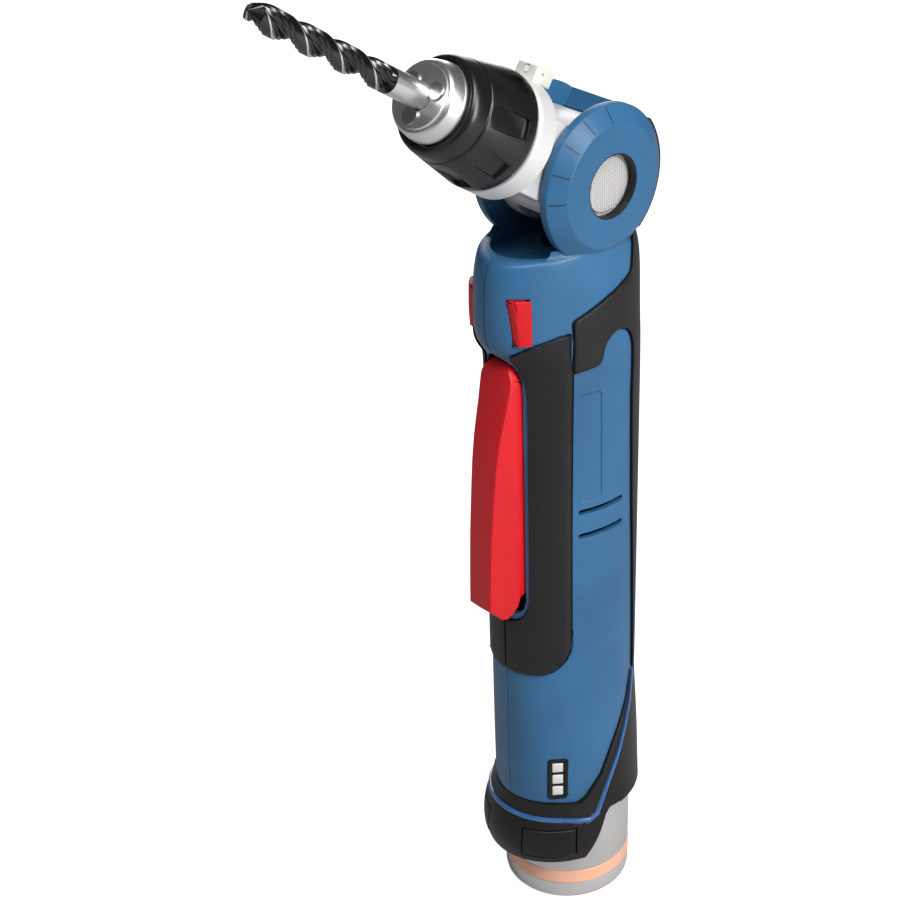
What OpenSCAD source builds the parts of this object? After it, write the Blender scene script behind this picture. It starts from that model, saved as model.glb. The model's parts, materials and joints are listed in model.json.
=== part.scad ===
// Cordless right angle drill with a tilting chuck head
// Origin: centre of the battery's flat bottom. +Z runs up the handle, the trigger faces -Y.

/* [Body] */
// Half width of the handle
body_half_w = 22.3; // [22:0.1:24]
// Depth of the handle in front of its axis
body_front = 28.7; // [28:0.1:32]
// Depth of the handle behind its axis
body_back = 23.2; // [23:0.1:26]
// Wall of the body shells
body_wall = 2.2; // [1.8:0.1:2.5]
// Depth of the switch block in front of the axis
block_front = 36; // [35:0.5:39]
// Height of the head's hinge axis above the trigger's lower end
hinge_rise = 161; // [158:1:173]
// How far the rubber grips stand proud of the shells
grip_proud = 0.9; // [0.5:0.1:1.5]
// How far the base collar stands proud of the shells
collar_proud = 4.8; // [3.5:0.1:6]
// Radius of a shell screw
screw_r = 1.5; // [1.2:0.1:1.7]

/* [Hinge] */
// Angle of the chuck above straight ahead
head_angle = 33.75; // [0:11.25:90]
// Outer radius of the hinge ears
ear_r = 24.5; // [23:0.5:26]
// Radius of the flat face on an ear
ear_face_r = 19; // [17:0.5:21]
// Outer face of an ear from the middle plane
ear_out = 19.7; // [19:0.1:21]
// Inner face of an ear from the middle plane
ear_in = 12.8; // [12.5:0.1:13.2]
// Radius of the head's drum between the ears
drum_r = 17.5; // [17:0.1:18.5]
// Radius of the tilt-lock button
button_r = 8.86; // [7:0.02:9.5]
// Travel of the tilt-lock button
lock_travel = 2.2; // [1.5:0.1:2.4]
// Radius of the idler's pin
pin_r = 3; // [2.5:0.1:3.5]

/* [Bevel gears] */
// Teeth of the bevel pinion and of the spindle gear
bevel_teeth = 12; // [12:1:12]
// Teeth of the idler between them
idler_teeth = 20; // [20:1:20]
// Distance from the shared apex to the large end of the teeth
cone_distance = 14; // [13:0.1:14.4]

/* [Gearbox and motor] */
// Teeth of the sun gear
sun_teeth = 9; // [9:3:9]
// Teeth of a planet gear
planet_teeth = 18; // [18:3:18]
// Module of the planetary gears
gear_module = 0.55; // [0.5:0.01:0.57]
// Width of the planetary gears
gear_w = 9; // [7:0.5:11]
// Outer radius of the ring gear
ring_r = 15; // [14.5:0.1:16]
// Outer radius of the motor can
motor_r = 14; // [13:0.1:14.5]
// Length of the motor can
motor_l = 46; // [40:1:50]
// Radius of the motor shaft
shaft_r = 1.5; // [1.2:0.05:1.6]
// Radius of the output shaft
output_r = 4; // [3.5:0.1:4.5]

/* [Chuck] */
// Outer radius of the chuck sleeve
sleeve_r = 18.5; // [18:0.1:19.5]
// Distance from the hinge axis to the flange's front face
flange_d = 38; // [37:0.5:40]
// Distance from the flange to the chuck's nose
chuck_l = 31.8; // [31:0.2:34]
// Radius of the nose's front face
nose_r = 9.45; // [9:0.05:10]
// Radius of the drill bit
bit_r = 4; // [3:0.1:4.5]
// Length of bit in front of the nose
bit_reach = 67.7; // [60:0.1:80]
// Length of the flutes
flute_l = 52.5; // [45:0.5:60]
// Angle of a jaw to the chuck's axis
jaw_angle = 18; // [16:0.5:19]
// Radius of a jaw
jaw_r = 2.65; // [2.4:0.05:2.8]

/* [Trigger and switches] */
// Half width of the trigger
trigger_half_w = 7.2; // [6.5:0.1:7.8]
// Height of the direction switch's tabs
direction_h = 15; // [12:0.5:16]
// Travel of the direction switch to each side
direction_travel = 2.5; // [2:0.1:3]
// Travel of a release button
release_travel = 1.8; // [1.2:0.1:2]

/* [Battery] */
// Height of the base in front
base_h = 21.4; // [20:0.1:21.6]
// Length of a cell
cell_l = 65; // [60:1:66]
// Width of the coloured band
band_w = 5.2; // [4:0.1:6]

/* [Hidden] */
$fn = 48;
run_gap = 0.05; // radial clearance of a running fit
seat_gap = 0.02; // radial clearance of a fixed seat
part_gap = 0.3; // clearance between moving pieces
far = 80;

// Heights up the handle: the battery sets the trigger's place, and the trigger the hinge's
stem_z = base_h;
stem_top = stem_z + cell_l + 1.8;
terminal_z = stem_top + 9.5;
terminal_h = 6;
trigger_z = terminal_z + 14.3;
trigger_low = trigger_z + 14.4;
hinge_z = trigger_z + hinge_rise;
well_z = hinge_z - 23;
bulkhead_z = hinge_z - 33;
body_top = hinge_z - 17;
shelf_z = hinge_z - 19;
bearing_z = bulkhead_z + 2;
bearing_h = 5;
carrier_h = 3.4;
carrier_z = bulkhead_z - 0.6 - carrier_h;
gear_z = carrier_z - 1.1 - gear_w;
ring_z = gear_z - 2;
plate_h = 3;
motor_top = ring_z - plate_h;
motor_z = motor_top - motor_l;
endcap_h = 5;
switch_h = 40;
switch_z = trigger_z - 4;
trigger_top = hinge_z - 54;
direction_z = hinge_z - 45.5;

// The battery fills the handle
battery_r = body_half_w + 0.05;
cell_r = 0.408 * body_half_w;

// Handle sections: half width, front and back depth against height
collar_z = base_h + 0.6;
collar_top = collar_z + 68;
low_z = collar_z + 38;
mid_z = trigger_z - 7;
high_z = motor_z - 15;
outer_z = [collar_z, low_z, mid_z, high_z, trigger_top - 4, trigger_top + 1, trigger_top + 5, hinge_z - 42,
    hinge_z - 32, hinge_z - 25.5, hinge_z - 21, shelf_z - 0.2, shelf_z, body_top];
void_z = [collar_z - 1, low_z, mid_z, high_z, trigger_top - 4, trigger_top + 1, trigger_top + 5, hinge_z - 42,
    bulkhead_z];
width_rows = [[collar_z - 1, body_half_w - 0.3], [low_z, body_half_w], [high_z, body_half_w],
    [trigger_top - 4, body_half_w - 0.6], [trigger_top + 5, body_half_w - 1.6],
    [hinge_z - 32, body_half_w - 2.4], [body_top, body_half_w - 3.6]];
front_rows = [[collar_z - 1, body_front - 1.2], [low_z, body_front - 0.2], [mid_z, body_front],
    [trigger_top - 4, body_front + 0.3], [trigger_top + 1, body_front + 1.6],
    [trigger_top + 5, block_front - 0.9], [hinge_z - 42, block_front], [hinge_z - 32, block_front],
    [hinge_z - 25.5, block_front - 0.5], [hinge_z - 21, block_front - 1.8],
    [shelf_z - 0.2, block_front - 3], [shelf_z, block_front - 7.8], [body_top, block_front - 8.5]];
back_rows = [[collar_z - 1, body_back - 0.6], [low_z, body_back - 0.1], [high_z, body_back],
    [hinge_z - 32, body_back + 1.1], [hinge_z - 25.5, body_back + 0.6], [hinge_z - 21, body_back - 1.2],
    [body_top, body_back - 4.6]];
// How far the collar stands out against height: a bulge in front and one behind
collar_rows = [[collar_z, collar_proud * 0.55], [collar_z + 4, collar_proud * 0.95],
    [collar_z + 10, collar_proud], [collar_z + 16, collar_proud * 0.65], [collar_z + 22, collar_proud * 0.75],
    [collar_z + 34, collar_proud * 0.83], [low_z, collar_proud * 0.75], [collar_z + 48, collar_proud * 0.55],
    [collar_z + 58, collar_proud * 0.35], [collar_top, collar_proud * 0.2]];
collar_rings = [for (row = collar_rows) row[0]];
collar_grow = [for (row = collar_rows) row[1]];
// Distance from the axis to the handle's surface, in front of it to one side
function reach(a) = 1 / norm([cos(a) / body_half_w, sin(a) / body_front]);
release_at = 58;
release_r = reach(release_at);
release_half = 0.41 * body_half_w;
release_half_h = 5.5;
edge_y = 0.61 * body_half_w;
// Lower edge of the collar in side view: low in front, stepping up behind the release buttons
collar_edge = [[-edge_y, collar_z], [2.6 - edge_y, collar_z + 5.2], [8.2 - edge_y, collar_z + 16.1],
    [10.1 - edge_y, collar_z + 18.2], [6, collar_z + 17.7], [far, collar_z + 15.5]];
vent_n = 2;
vent_h = 2;
vent_step = 9;
vent_z = motor_z - 20.6;
gauge_z = collar_z + 35;
gauge_turn = -38;
// Where the surface faces the way the gauge is turned: its distance, and the place along it
gauge_out = norm([body_half_w * cos(gauge_turn), body_front * sin(gauge_turn)]);
gauge_shift = (body_front ^ 2 - body_half_w ^ 2) * sin(gauge_turn) * cos(gauge_turn) / gauge_out;
gauge_in = gauge_out - 1.4;
gauge_wall = 2.6;
release_z = collar_z + 9;

// Hinge and head
drum_half = ear_in - 0.4;
left_hub_r = 7;
ear_rim = 2.7;
back_top = 141; // where the wall behind the drum ends, turned up from straight down
patch_top = 127; // where the grip on that wall ends
cover_in = 8.9;
cover_floor = 0.8;
lock_back = cover_in + cover_floor + lock_travel + 0.6;
hub_end = lock_back + 2.9;
hub_bore = button_r + 2.3;
hub_r = hub_bore + 1.84;
seat_r = button_r + 1.34;
neck_half = drum_half - 0.2;
neck_h = 13;
neck_back = 10.6;
flange_w = 8;
race_r = 8;
race_w = 5;
race_in = 6.6;
ball_r = 0.85;
ball_n = 8;
spindle_r = 4.6;
ball_pitch = (race_in + spindle_r) / 2;
race_at = [19, flange_d - 6];
lamp_half = 4.2;
lamp_top = sleeve_r + 4.2;
lamp_l = 8;
lamp_d = flange_d - 4;
lens_l = 2.8;

// Bevel gears share their apex on the hinge axis
bevel_cone = atan(bevel_teeth / idler_teeth);
idler_cone = 90 - bevel_cone;
bevel_face = 0.38; // share of the cone distance that carries teeth
bevel_hub_r = 6;
bevel_hub_l = 3;
bevel_bore = 2.5;
tip_angle = 3.2;
root_angle = 4.7;
bevel_q = cone_distance * cos(bevel_cone);
idler_q = cone_distance * cos(idler_cone);

// Planetary gears
ring_teeth = sun_teeth + 2 * planet_teeth;
sun_pitch = gear_module * sun_teeth / 2;
planet_pitch = gear_module * planet_teeth / 2;
ring_pitch = gear_module * ring_teeth / 2;
orbit_r = sun_pitch + planet_pitch;
planet_n = 3;
planet_pin_r = 1.5;

// Chuck, measured along its axis from the hinge
chuck_d = flange_d + 0.6;
nose_d = flange_d + chuck_l;
nut_d = nose_d - 12.6;
nut_w = 4;
nut_seat_r = sleeve_r - 4.3;
body_core_r = 13.4;
collar_r = 12.2;
bit_tail_d = nose_d - 19.8;
bit_tip_d = nose_d + bit_reach;
jaw_tail = 15.6;
jaw_n = 3;
jaw_grip = bit_r + 0.04;
flute_n = 8;
flute_w = 6.6;
flute_lean = 5; // the sleeve's own slope is steeper, so a flute runs out in front

// Trigger: pin at its top, tongue at its lower end
trigger_back = 22;
trigger_frame = 2; // shell left between the trigger and the grips
pin_y = -body_front + 6.5;
trigger_lug = 18.6;
pin_half = 11.6;
pin_z = trigger_top - 7;
trigger_pin_r = 1.5;
tongue_z = trigger_low + 11;

// Direction switch: depth of its bar in front of the axis
direction_out = block_front - 3.1;
direction_in = direction_out - 4.5;
direction_lean = 1.2;

// Battery stem: three round lobes
lobe_wall = 0.9;
lobe_r = cell_r + 0.15 + lobe_wall;
lobe_at = 1.18 * cell_r;
lobe_dip = 0.6; // the flats between the lobes lie this much lower
stem_y = -1.5;
release_in = release_r - 5.3 + release_travel;
release_cut = release_r - 9.9;

// Shell screws in side view
screw_at = [[-22, trigger_z - 11], [18.3, trigger_z - 2], [18.3, motor_z - 10], [18.6, motor_top - 12],
    [-21, hinge_z - 26], [20.4, hinge_z - 27]];

blue = [0.13, 0.31, 0.52];
black = [0.07, 0.07, 0.08];
red = [0.8, 0.06, 0.1];
steel = [0.72, 0.73, 0.75];
silver = [0.82, 0.82, 0.82];

// Frames and small helpers

module along_x() {
    rotate([0, 90, 0]) children();
}

module hinge_frame() {
    translate([0, 0, hinge_z]) children();
}

// The chuck's axis becomes Z, measured from the hinge; Y points to the lamp
module head_frame() {
    hinge_frame() rotate([90 - head_angle, 0, 0]) children();
}

// The spindle gear rolls on the idler as the head tilts
module spindle_frame() {
    head_frame() rotate([0, 0, head_angle * idler_teeth / bevel_teeth]) children();
}

module ring(r_out, r_in, h) {
    difference() {
        cylinder(r = r_out, h = h);
        translate([0, 0, -1]) cylinder(r = r_in, h = h + 2);
    }
}

module box(low, high) {
    translate(low) cube(high - low);
}

// An outline in side view, given as [y, z], drawn right through in X
module side_view(points, half = far) {
    rotate([90, 0, 90]) translate([0, 0, -half]) linear_extrude(2 * half) polygon(points);
}

// An outline in front view, given as [x, z], drawn through the front half
module front_view(points) {
    rotate([90, 0, 0]) linear_extrude(far) polygon(points);
}

module half_space(side) {
    translate([side > 0 ? 0 : -far, -far, -10]) cube([far, 2 * far, hinge_z + far]);
}

module mirror_left(side) {
    mirror([side < 0 ? 1 : 0, 0, 0]) children();
}

// One oval section with different depths in front and behind
function oval(a, w, f, b) = [w * cos(a), (sin(a) < 0 ? f : b) * sin(a)];
section_n = 48;

// A solid over rings of n points each, from the first ring to the last
module loft(points, n) {
    last = len(points) - n;
    sides = [for (k = [0:n:last - n], i = [0:n - 1]) let (a = k + i, b = k + (i + 1) % n)
        each [[a, a + n, b + n], [a, b + n, b]]];
    polyhedron(points, concat(sides, [[for (i = [0:n - 1]) i], [for (i = [n - 1:-1:0]) last + i]]));
}

// The handle's outer form between the given heights, grown by the given amounts
module handle(zs, grow) {
    points = [for (k = [0:len(zs) - 1], i = [0:section_n - 1])
        let (z = zs[k], g = is_list(grow) ? grow[k] : grow)
        concat(oval(360 * i / section_n, lookup(z, width_rows) + g, lookup(z, front_rows) + g,
            lookup(z, back_rows) + g), z)];
    loft(points, section_n);
}

// A skin of the given thickness over the shells
module skin(zs, thick) {
    difference() {
        handle(zs, thick);
        handle(concat([zs[0] - 1], zs, [zs[len(zs) - 1] + 1]), 0);
    }
}

// Gear outlines

function teeth(n, r_root, r_tip, half_root, half_tip) =
    [for (i = [0:n - 1],
        p = [[r_root, -half_root], [r_tip, -half_tip], [r_tip, half_tip], [r_root, half_root]])
        p[0] * [cos(360 / n * i + p[1]), sin(360 / n * i + p[1])]];

module spur(n, phase = 0) {
    pitch = gear_module * n / 2;
    rotate(phase) polygon(teeth(n, pitch - 0.95 * gear_module, pitch + 0.7 * gear_module, 88 / n, 34 / n));
}

// Bevel teeth tapering to the apex; the large end lies at -q, the gear's axis is Z
module bevel(n, cone, q, phase) {
    h = q * bevel_face;
    translate([0, 0, -q]) rotate(phase) linear_extrude(h, scale = 1 - bevel_face)
        polygon(teeth(n, q * tan(cone - root_angle), q * tan(cone + tip_angle), 86 / n, 36 / n));
}

// Body

module ear(side, grow = 0) {
    mirror_left(side) hinge_frame() along_x() {
        translate([0, 0, ear_in]) cylinder(r = ear_r + grow, h = ear_rim);
        translate([0, 0, ear_in + ear_rim])
            cylinder(r1 = ear_r + grow, r2 = ear_face_r + grow, h = ear_out - ear_in - ear_rim);
    }
}

// A sector about the hinge axis at the back, between two radii, from just above the block to near the top
module back_sector(r_in, r_out, half, from, sweep) {
    hinge_frame() along_x() rotate([0, 0, from]) rotate_extrude(angle = sweep)
        translate([r_in, -half]) square([r_out - r_in, 2 * half]);
}

module ear_bores(side) {
    hinge_frame() along_x() {
        if (side > 0) {
            translate([0, 0, ear_in - 1]) cylinder(r = hub_r + run_gap, h = hub_end - ear_in + 1.2);
            translate([0, 0, hub_end + 0.2]) cylinder(r1 = seat_r + 0.8, r2 = seat_r, h = 0.8);
            translate([0, 0, hub_end]) cylinder(r = seat_r, h = far);
        } else {
            translate([0, 0, -far]) cylinder(r = left_hub_r + run_gap, h = far - ear_in + 1);
            translate([0, 0, -far]) cylinder(r = seat_r, h = far - ear_out + 2.8);
        }
    }
}

// What the shells leave free inside: the void between the ribs, and the seats of motor and gears
module shell_ribs() {
    rib = 3;
    for (z = [terminal_z + 1, switch_z + 3, switch_z + switch_h - 6, motor_z + 3, motor_top - 7, ring_z + 2])
        translate([-far, -far, z]) cube([2 * far, 2 * far, rib]);
    for (p = screw_at)
        translate([0, p[0], p[1]]) along_x() translate([0, 0, -far]) cylinder(r = screw_r + 1.6, h = 2 * far);
}

module shell_seats() {
    translate([0, 0, motor_z - endcap_h - 1]) cylinder(r = motor_r + seat_gap, h = motor_l + endcap_h + 2);
    translate([0, 0, motor_top]) cylinder(r = ring_r + seat_gap, h = bulkhead_z - motor_top);
    translate([0, 0, bulkhead_z - 1]) cylinder(r = output_r + 2.5, h = far);
    translate([0, 0, bearing_z]) cylinder(r = race_r + seat_gap, h = bearing_h);
    translate([0, 0, bulkhead_z - 1]) cylinder(r = race_r - 1, h = 4);
    box([-9 - seat_gap, -14 - seat_gap, switch_z], [9 + seat_gap, 8 + seat_gap, switch_z + switch_h]);
    box([-12 - seat_gap, -14 - seat_gap, terminal_z - 1],
        [12 + seat_gap, 10 + seat_gap, terminal_z + terminal_h]);
}

module trigger_slot() {
    box([-trigger_half_w - 0.4, -far, trigger_low - 1.5], [trigger_half_w + 0.4, -16, trigger_top + 2.5]);
}

// The direction switch's bar in side view, its front leaning, grown by a gap
module direction_bar(gap) {
    low = direction_z - gap;
    top = direction_z + direction_h + gap;
    side_view([[-direction_out - gap, top], [direction_lean - direction_out - gap, low],
        [-direction_in + gap, low], [-direction_in + gap, top]]);
}

module vents() {
    for (i = [0:vent_n - 1]) translate([-far, -14, vent_z + i * vent_step]) cube([2 * far, 17.5, vent_h]);
}

module gauge_frame() {
    rotate([0, 0, gauge_turn]) translate([0, gauge_shift, gauge_z]) rotate([0, 90, 0]) children();
}

module gauge_lights(r) {
    for (i = [-1:1]) translate([i * 5, 0, gauge_in - gauge_wall]) cylinder(r = r, h = gauge_wall - 0.1);
}

module gauge_cut() {
    gauge_frame() {
        translate([-8.6 - seat_gap, -3.3 - seat_gap, gauge_in])
            cube([17.2 + 2 * seat_gap, 6.6 + 2 * seat_gap, 4]);
        gauge_lights(1.2 + seat_gap);
    }
}

module release_frame(side) {
    mirror_left(side) rotate([0, 0, -release_at]) translate([0, 0, release_z]) rotate([0, 90, 0]) children();
}

// The block in which a release button lies, grown by a gap
module release_block(gap) {
    half = release_half + gap;
    half_h = release_half_h + gap;
    box([-half_h, -half, release_cut], [half_h, half, far]);
}

module below_collar(drop) {
    side_view(concat([[-far, -far], [-far, collar_z - drop]], [for (p = collar_edge) [p[0], p[1] - drop]],
        [[far, -far]]));
}

module screw_holes(side) {
    for (p = screw_at) translate([0, p[0], p[1]]) along_x() {
        reach = side > 0 ? 6 : far;
        translate([0, 0, side > 0 ? -1 : -reach]) cylinder(r = screw_r + seat_gap, h = reach + 1);
        if (side < 0) translate([0, 0, -far]) cylinder(r = screw_r + 1.3, h = far - 7);
    }
}

module shell(side) {
    difference() {
        intersection() {
            union() {
                handle(outer_z, 0);
                ear(side);
                back_sector(drum_r + 0.8, ear_r, ear_in + 0.5, 20, back_top - 20);
            }
            half_space(side);
        }
        difference() {
            handle(void_z, -body_wall);
            shell_ribs();
        }
        shell_seats();
        translate([0, 0, collar_z - 2]) stem_lobes(stem_top - collar_z + 2, lobe_r + 0.35);
        box([-ear_in, -block_front + 7, well_z], [ear_in, 4, hinge_z]);
        hinge_frame() along_x() translate([0, 0, -ear_in]) cylinder(r = drum_r + 0.8, h = 2 * ear_in);
        ear_bores(side);
        trigger_slot();
        translate([0, pin_y, pin_z]) along_x() translate([0, 0, -pin_half - 0.2])
            cylinder(r = trigger_pin_r + seat_gap, h = 2 * pin_half + 0.4);
        direction_bar(part_gap);
        vents();
        if (side > 0) gauge_cut();
        release_frame(side) translate([-3.3, -3.8, release_cut]) cube([6.6, 7.6, 20]);
        screw_holes(side);
        below_collar(-0.1);
    }
}

module right_shell() {
    color(blue) shell(1);
}

module left_shell() {
    color(blue) shell(-1);
}

// Front grip of one side: beside the trigger, rounded off below it
module front_grip(side) {
    edge = trigger_half_w + trigger_frame;
    outer = body_half_w - 4.2;
    low = trigger_z - 10.4;
    outline = [[edge, trigger_low + 0.6], [edge, trigger_top + 3], [outer, trigger_top + 10.5],
        [outer, low + 9], [outer - 0.6, low + 6], [outer - 2.5, low + 1.8], [outer - 5.5, low], [0.05, low],
        [0.05, trigger_low - 4.8], [edge - 4, trigger_low - 4.2], [edge - 1, trigger_low - 2.8]];
    difference() {
        intersection() {
            skin([mid_z - 7, mid_z, high_z, trigger_top - 4, trigger_top + 1, trigger_top + 5,
                trigger_top + 12], grip_proud);
            mirror_left(side) front_view(outline);
        }
        direction_bar(part_gap);
    }
}

module right_grip() {
    color(black) front_grip(1);
}

module left_grip() {
    color(black) front_grip(-1);
}

// Rear grip: a strip down the back with a wing to each side under the switch block
module rear_grip() {
    top = hinge_z - 32;
    outline = [[-15.6, top - 8], [0.5, top - 2.3], [9, top + 0.8], [12, body_top - 5], [12, body_top + 5],
        [far, body_top + 5], [far, collar_top + 0.2], [12.6, collar_top + 0.2], [12, trigger_z - 2],
        [10.7, trigger_z + 23], [9.2, high_z], [9, motor_z + 7], [8.5, top - 36], [11, top - 23],
        [8, top - 17],
        [1, top - 15], [-6.6, top - 19.5], [-7, top - 22.6], [-15.6, top - 25.2]];
    color(black) difference() {
        intersection() {
            union() {
                skin([collar_top + 0.1, mid_z, high_z, trigger_top - 4, trigger_top + 1, trigger_top + 5,
                    hinge_z - 42, hinge_z - 32, hinge_z - 25.5, hinge_z - 21, body_top, body_top + 1.5],
                    grip_proud);
                difference() {
                    back_sector(ear_r + seat_gap, ear_r + grip_proud, ear_in + ear_rim, 40, patch_top - 40);
                    handle([for (z = outer_z) if (abs(z - shelf_z) > 1) z], 0);
                }
            }
            union() {
                side_view(outline);
                translate([-far, 12, body_top - 2]) cube(2 * far);
            }
        }
        screw_access();
        ear(1, seat_gap);
        ear(-1, seat_gap);
        back_sector(drum_r, ear_r + seat_gap, ear_in, 20, patch_top - 19);
    }
}

module screw_access() {
    for (p = screw_at) translate([-far, p[0], p[1]]) along_x() cylinder(r = screw_r + 1.3, h = far - 1);
}

module base_collar() {
    rise = [[-far, 19.1], [-edge_y - 13.4, 19.1], [1.4 - edge_y, 15.8], [5.2 - edge_y, 17.5],
        [10 - edge_y, 25.9], [3.4, 38.8], [10, 56]];
    edge = [for (i = [len(collar_edge) - 1:-1:0]) collar_edge[i]];
    outline = concat([for (p = rise) [p[0], collar_z + p[1]]], [[12.6, collar_top], [far, collar_top]], edge,
        [[-far, collar_z]]);
    color(black) difference() {
        intersection() {
            skin(collar_rings, collar_grow);
            side_view(outline);
        }
        for (side = [-1, 1]) release_frame(side) release_block(part_gap);
    }
}

module shell_screws() {
    color(steel) for (p = screw_at) translate([0, p[0], p[1]]) along_x() {
        translate([0, 0, -7.1]) cylinder(r = screw_r, h = 12.6);
        difference() {
            translate([0, 0, -9]) cylinder(r = screw_r + 1.1, h = 1.95);
            translate([0, 0, -9.5]) cylinder(r = 0.8, h = 1.5, $fn = 6);
        }
    }
}

module hinge_cap() {
    color(blue) hinge_frame() along_x() difference() {
        translate([0, 0, -ear_out + 0.5]) cylinder(r = seat_r - seat_gap, h = 2.2);
        translate([0, 0, -ear_out + 1.2]) cylinder(r = pin_r + seat_gap, h = 4);
    }
}

module idler_pin() {
    color(steel) hinge_frame() along_x() translate([0, 0, -ear_out + 1.3])
        cylinder(r = pin_r, h = ear_out - 1.3 - idler_q * (1 - bevel_face) + 0.3);
}

// Motor and gearbox

module motor_can() {
    color(steel) translate([0, 0, motor_z]) difference() {
        cylinder(r = motor_r, h = motor_l);
        translate([0, 0, -1]) cylinder(r = motor_r - 1.2, h = motor_l - 1);
        cylinder(r = 3 + seat_gap, h = motor_l + 1);
    }
}

module motor_magnets() {
    color([0.2, 0.2, 0.22]) for (turn = [0, 180]) rotate([0, 0, turn - 65])
        translate([0, 0, motor_z + 8]) rotate_extrude(angle = 130)
            translate([motor_r - 3.3, 0]) square([2.1 - seat_gap, motor_l - 16]);
}

module motor_endcap() {
    color(black) difference() {
        union() {
            translate([0, 0, motor_z - endcap_h]) cylinder(r = motor_r, h = endcap_h);
            translate([0, 0, motor_z]) cylinder(r = motor_r - 1.2 - seat_gap, h = 1.5);
        }
        translate([0, 0, motor_z - endcap_h - 1]) cylinder(r = 3 + seat_gap, h = endcap_h + 4);
        translate([0, 0, motor_z - 1]) for (turn = [0, 180]) rotate([0, 0, turn])
            translate([-2.03, 3, 0]) cube([4.06, 8.03, 4]);
    }
}

module motor_brushes() {
    color([0.25, 0.2, 0.17]) for (turn = [0, 180]) rotate([0, 0, turn])
        translate([-2, 4 + part_gap, motor_z - 1]) cube([4, 6.7, 6.5]);
}

module motor_bushes() {
    color([0.7, 0.55, 0.3]) for (z = [motor_z - endcap_h + 0.5, motor_top - 2])
        translate([0, 0, z]) ring(3, shaft_r + run_gap, 2);
}

module ring_gear() {
    gap_in = ring_pitch - 0.7 * gear_module;
    gap_out = ring_pitch + 0.95 * gear_module;
    color([0.45, 0.45, 0.48]) difference() {
        translate([0, 0, ring_z]) cylinder(r = ring_r, h = bulkhead_z - ring_z);
        translate([0, 0, ring_z - 1]) linear_extrude(bulkhead_z - ring_z + 2)
            polygon(teeth(ring_teeth, gap_in, gap_out, 146 / ring_teeth, 92 / ring_teeth));
        translate([0, 0, carrier_z - 0.8]) cylinder(r = ring_pitch + gear_module, h = far);
    }
}

module gearbox_plate() {
    color(steel) translate([0, 0, motor_top]) ring(ring_r, shaft_r + 2, plate_h);
}

module pinion_bearing() {
    color(steel) translate([0, 0, bearing_z]) ring(race_r, output_r + run_gap, bearing_h);
}

module planet_places() {
    for (i = [0:planet_n - 1]) rotate([0, 0, 360 / planet_n * i]) translate([orbit_r, 0, 0]) children();
}

module output_carrier() {
    color(steel) {
        translate([0, 0, carrier_z]) cylinder(r = orbit_r + 3.2, h = carrier_h);
        planet_places() translate([0, 0, gear_z - 0.5])
            cylinder(r = planet_pin_r, h = carrier_z - gear_z + 1);
        translate([0, 0, carrier_z]) cylinder(r = output_r, h = hinge_z - bevel_q - bevel_hub_l - carrier_z);
        translate([0, 0, carrier_z])
            cylinder(r = bevel_bore - seat_gap, h = hinge_z - bevel_q * 0.7 - carrier_z);
    }
}

module bevel_solid() {
    difference() {
        union() {
            bevel(bevel_teeth, bevel_cone, bevel_q, 180);
            translate([0, 0, -bevel_q - bevel_hub_l]) cylinder(r = bevel_hub_r, h = bevel_hub_l + 0.01);
        }
        translate([0, 0, -bevel_q - bevel_hub_l - 1]) cylinder(r = bevel_bore, h = bevel_q + bevel_hub_l);
    }
}

module bevel_pinion() {
    color([0.55, 0.55, 0.58]) hinge_frame() bevel_solid();
}

module planet(i) {
    turn = 360 / planet_n * (i - 1);
    color([0.6, 0.6, 0.62]) rotate([0, 0, turn]) translate([orbit_r, 0, gear_z]) difference() {
        linear_extrude(gear_w) spur(planet_teeth);
        translate([0, 0, -1]) cylinder(r = planet_pin_r + run_gap, h = gear_w + 2);
    }
}

module motor_shaft() {
    tail = motor_z - endcap_h;
    color(steel) {
        translate([0, 0, tail]) cylinder(r = shaft_r, h = gear_z + gear_w - tail);
        translate([0, 0, gear_z]) linear_extrude(gear_w) spur(sun_teeth, 180 / sun_teeth);
    }
}

module armature() {
    slots = 5;
    core_z = motor_z + 11;
    core_h = motor_l - 20;
    core_r = motor_r - 3.8;
    color([0.5, 0.3, 0.16]) translate([0, 0, core_z]) difference() {
        cylinder(r = core_r, h = core_h);
        translate([0, 0, -1]) cylinder(r = shaft_r + seat_gap, h = core_h + 2);
        for (i = [0:slots - 1]) rotate([0, 0, 360 / slots * i])
            translate([core_r - 3.5, -0.8, -1]) cube([5, 1.6, core_h + 2]);
    }
}

module commutator() {
    color([0.72, 0.45, 0.2]) translate([0, 0, motor_z + 2]) ring(4, shaft_r + seat_gap, 8.5);
}

// Switches, gauge and terminals

module switch_module() {
    color(black) difference() {
        box([-9, -14, switch_z], [9, 8, switch_z + switch_h]);
        box([-4, -15, tongue_z - 5], [4, -6, tongue_z + 5]);
    }
}

module trigger_pin() {
    color(steel) translate([0, pin_y, pin_z]) along_x() translate([0, 0, -pin_half])
        cylinder(r = trigger_pin_r, h = 2 * pin_half);
}

module gauge_board() {
    color([0.1, 0.35, 0.15]) gauge_frame() {
        translate([-9.5, -4, gauge_in - gauge_wall - 1.1]) cube([19, 8, 1.2]);
        gauge_lights(1.2);
    }
}

module gauge_window() {
    color([0.25, 0.27, 0.3, 0.6]) gauge_frame() translate([-8.6, -3.3, gauge_in])
        cube([17.2, 6.6, gauge_out - gauge_in]);
}

module terminal_block() {
    color(black) box([-12, -14, terminal_z], [12, 10, terminal_z + terminal_h]);
}

module terminal_blades() {
    color([0.8, 0.62, 0.3]) for (x = [-5, 0, 5])
        box([x - 0.4, -5, terminal_z - 7.5], [x + 0.4, 1, terminal_z]);
}

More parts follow.
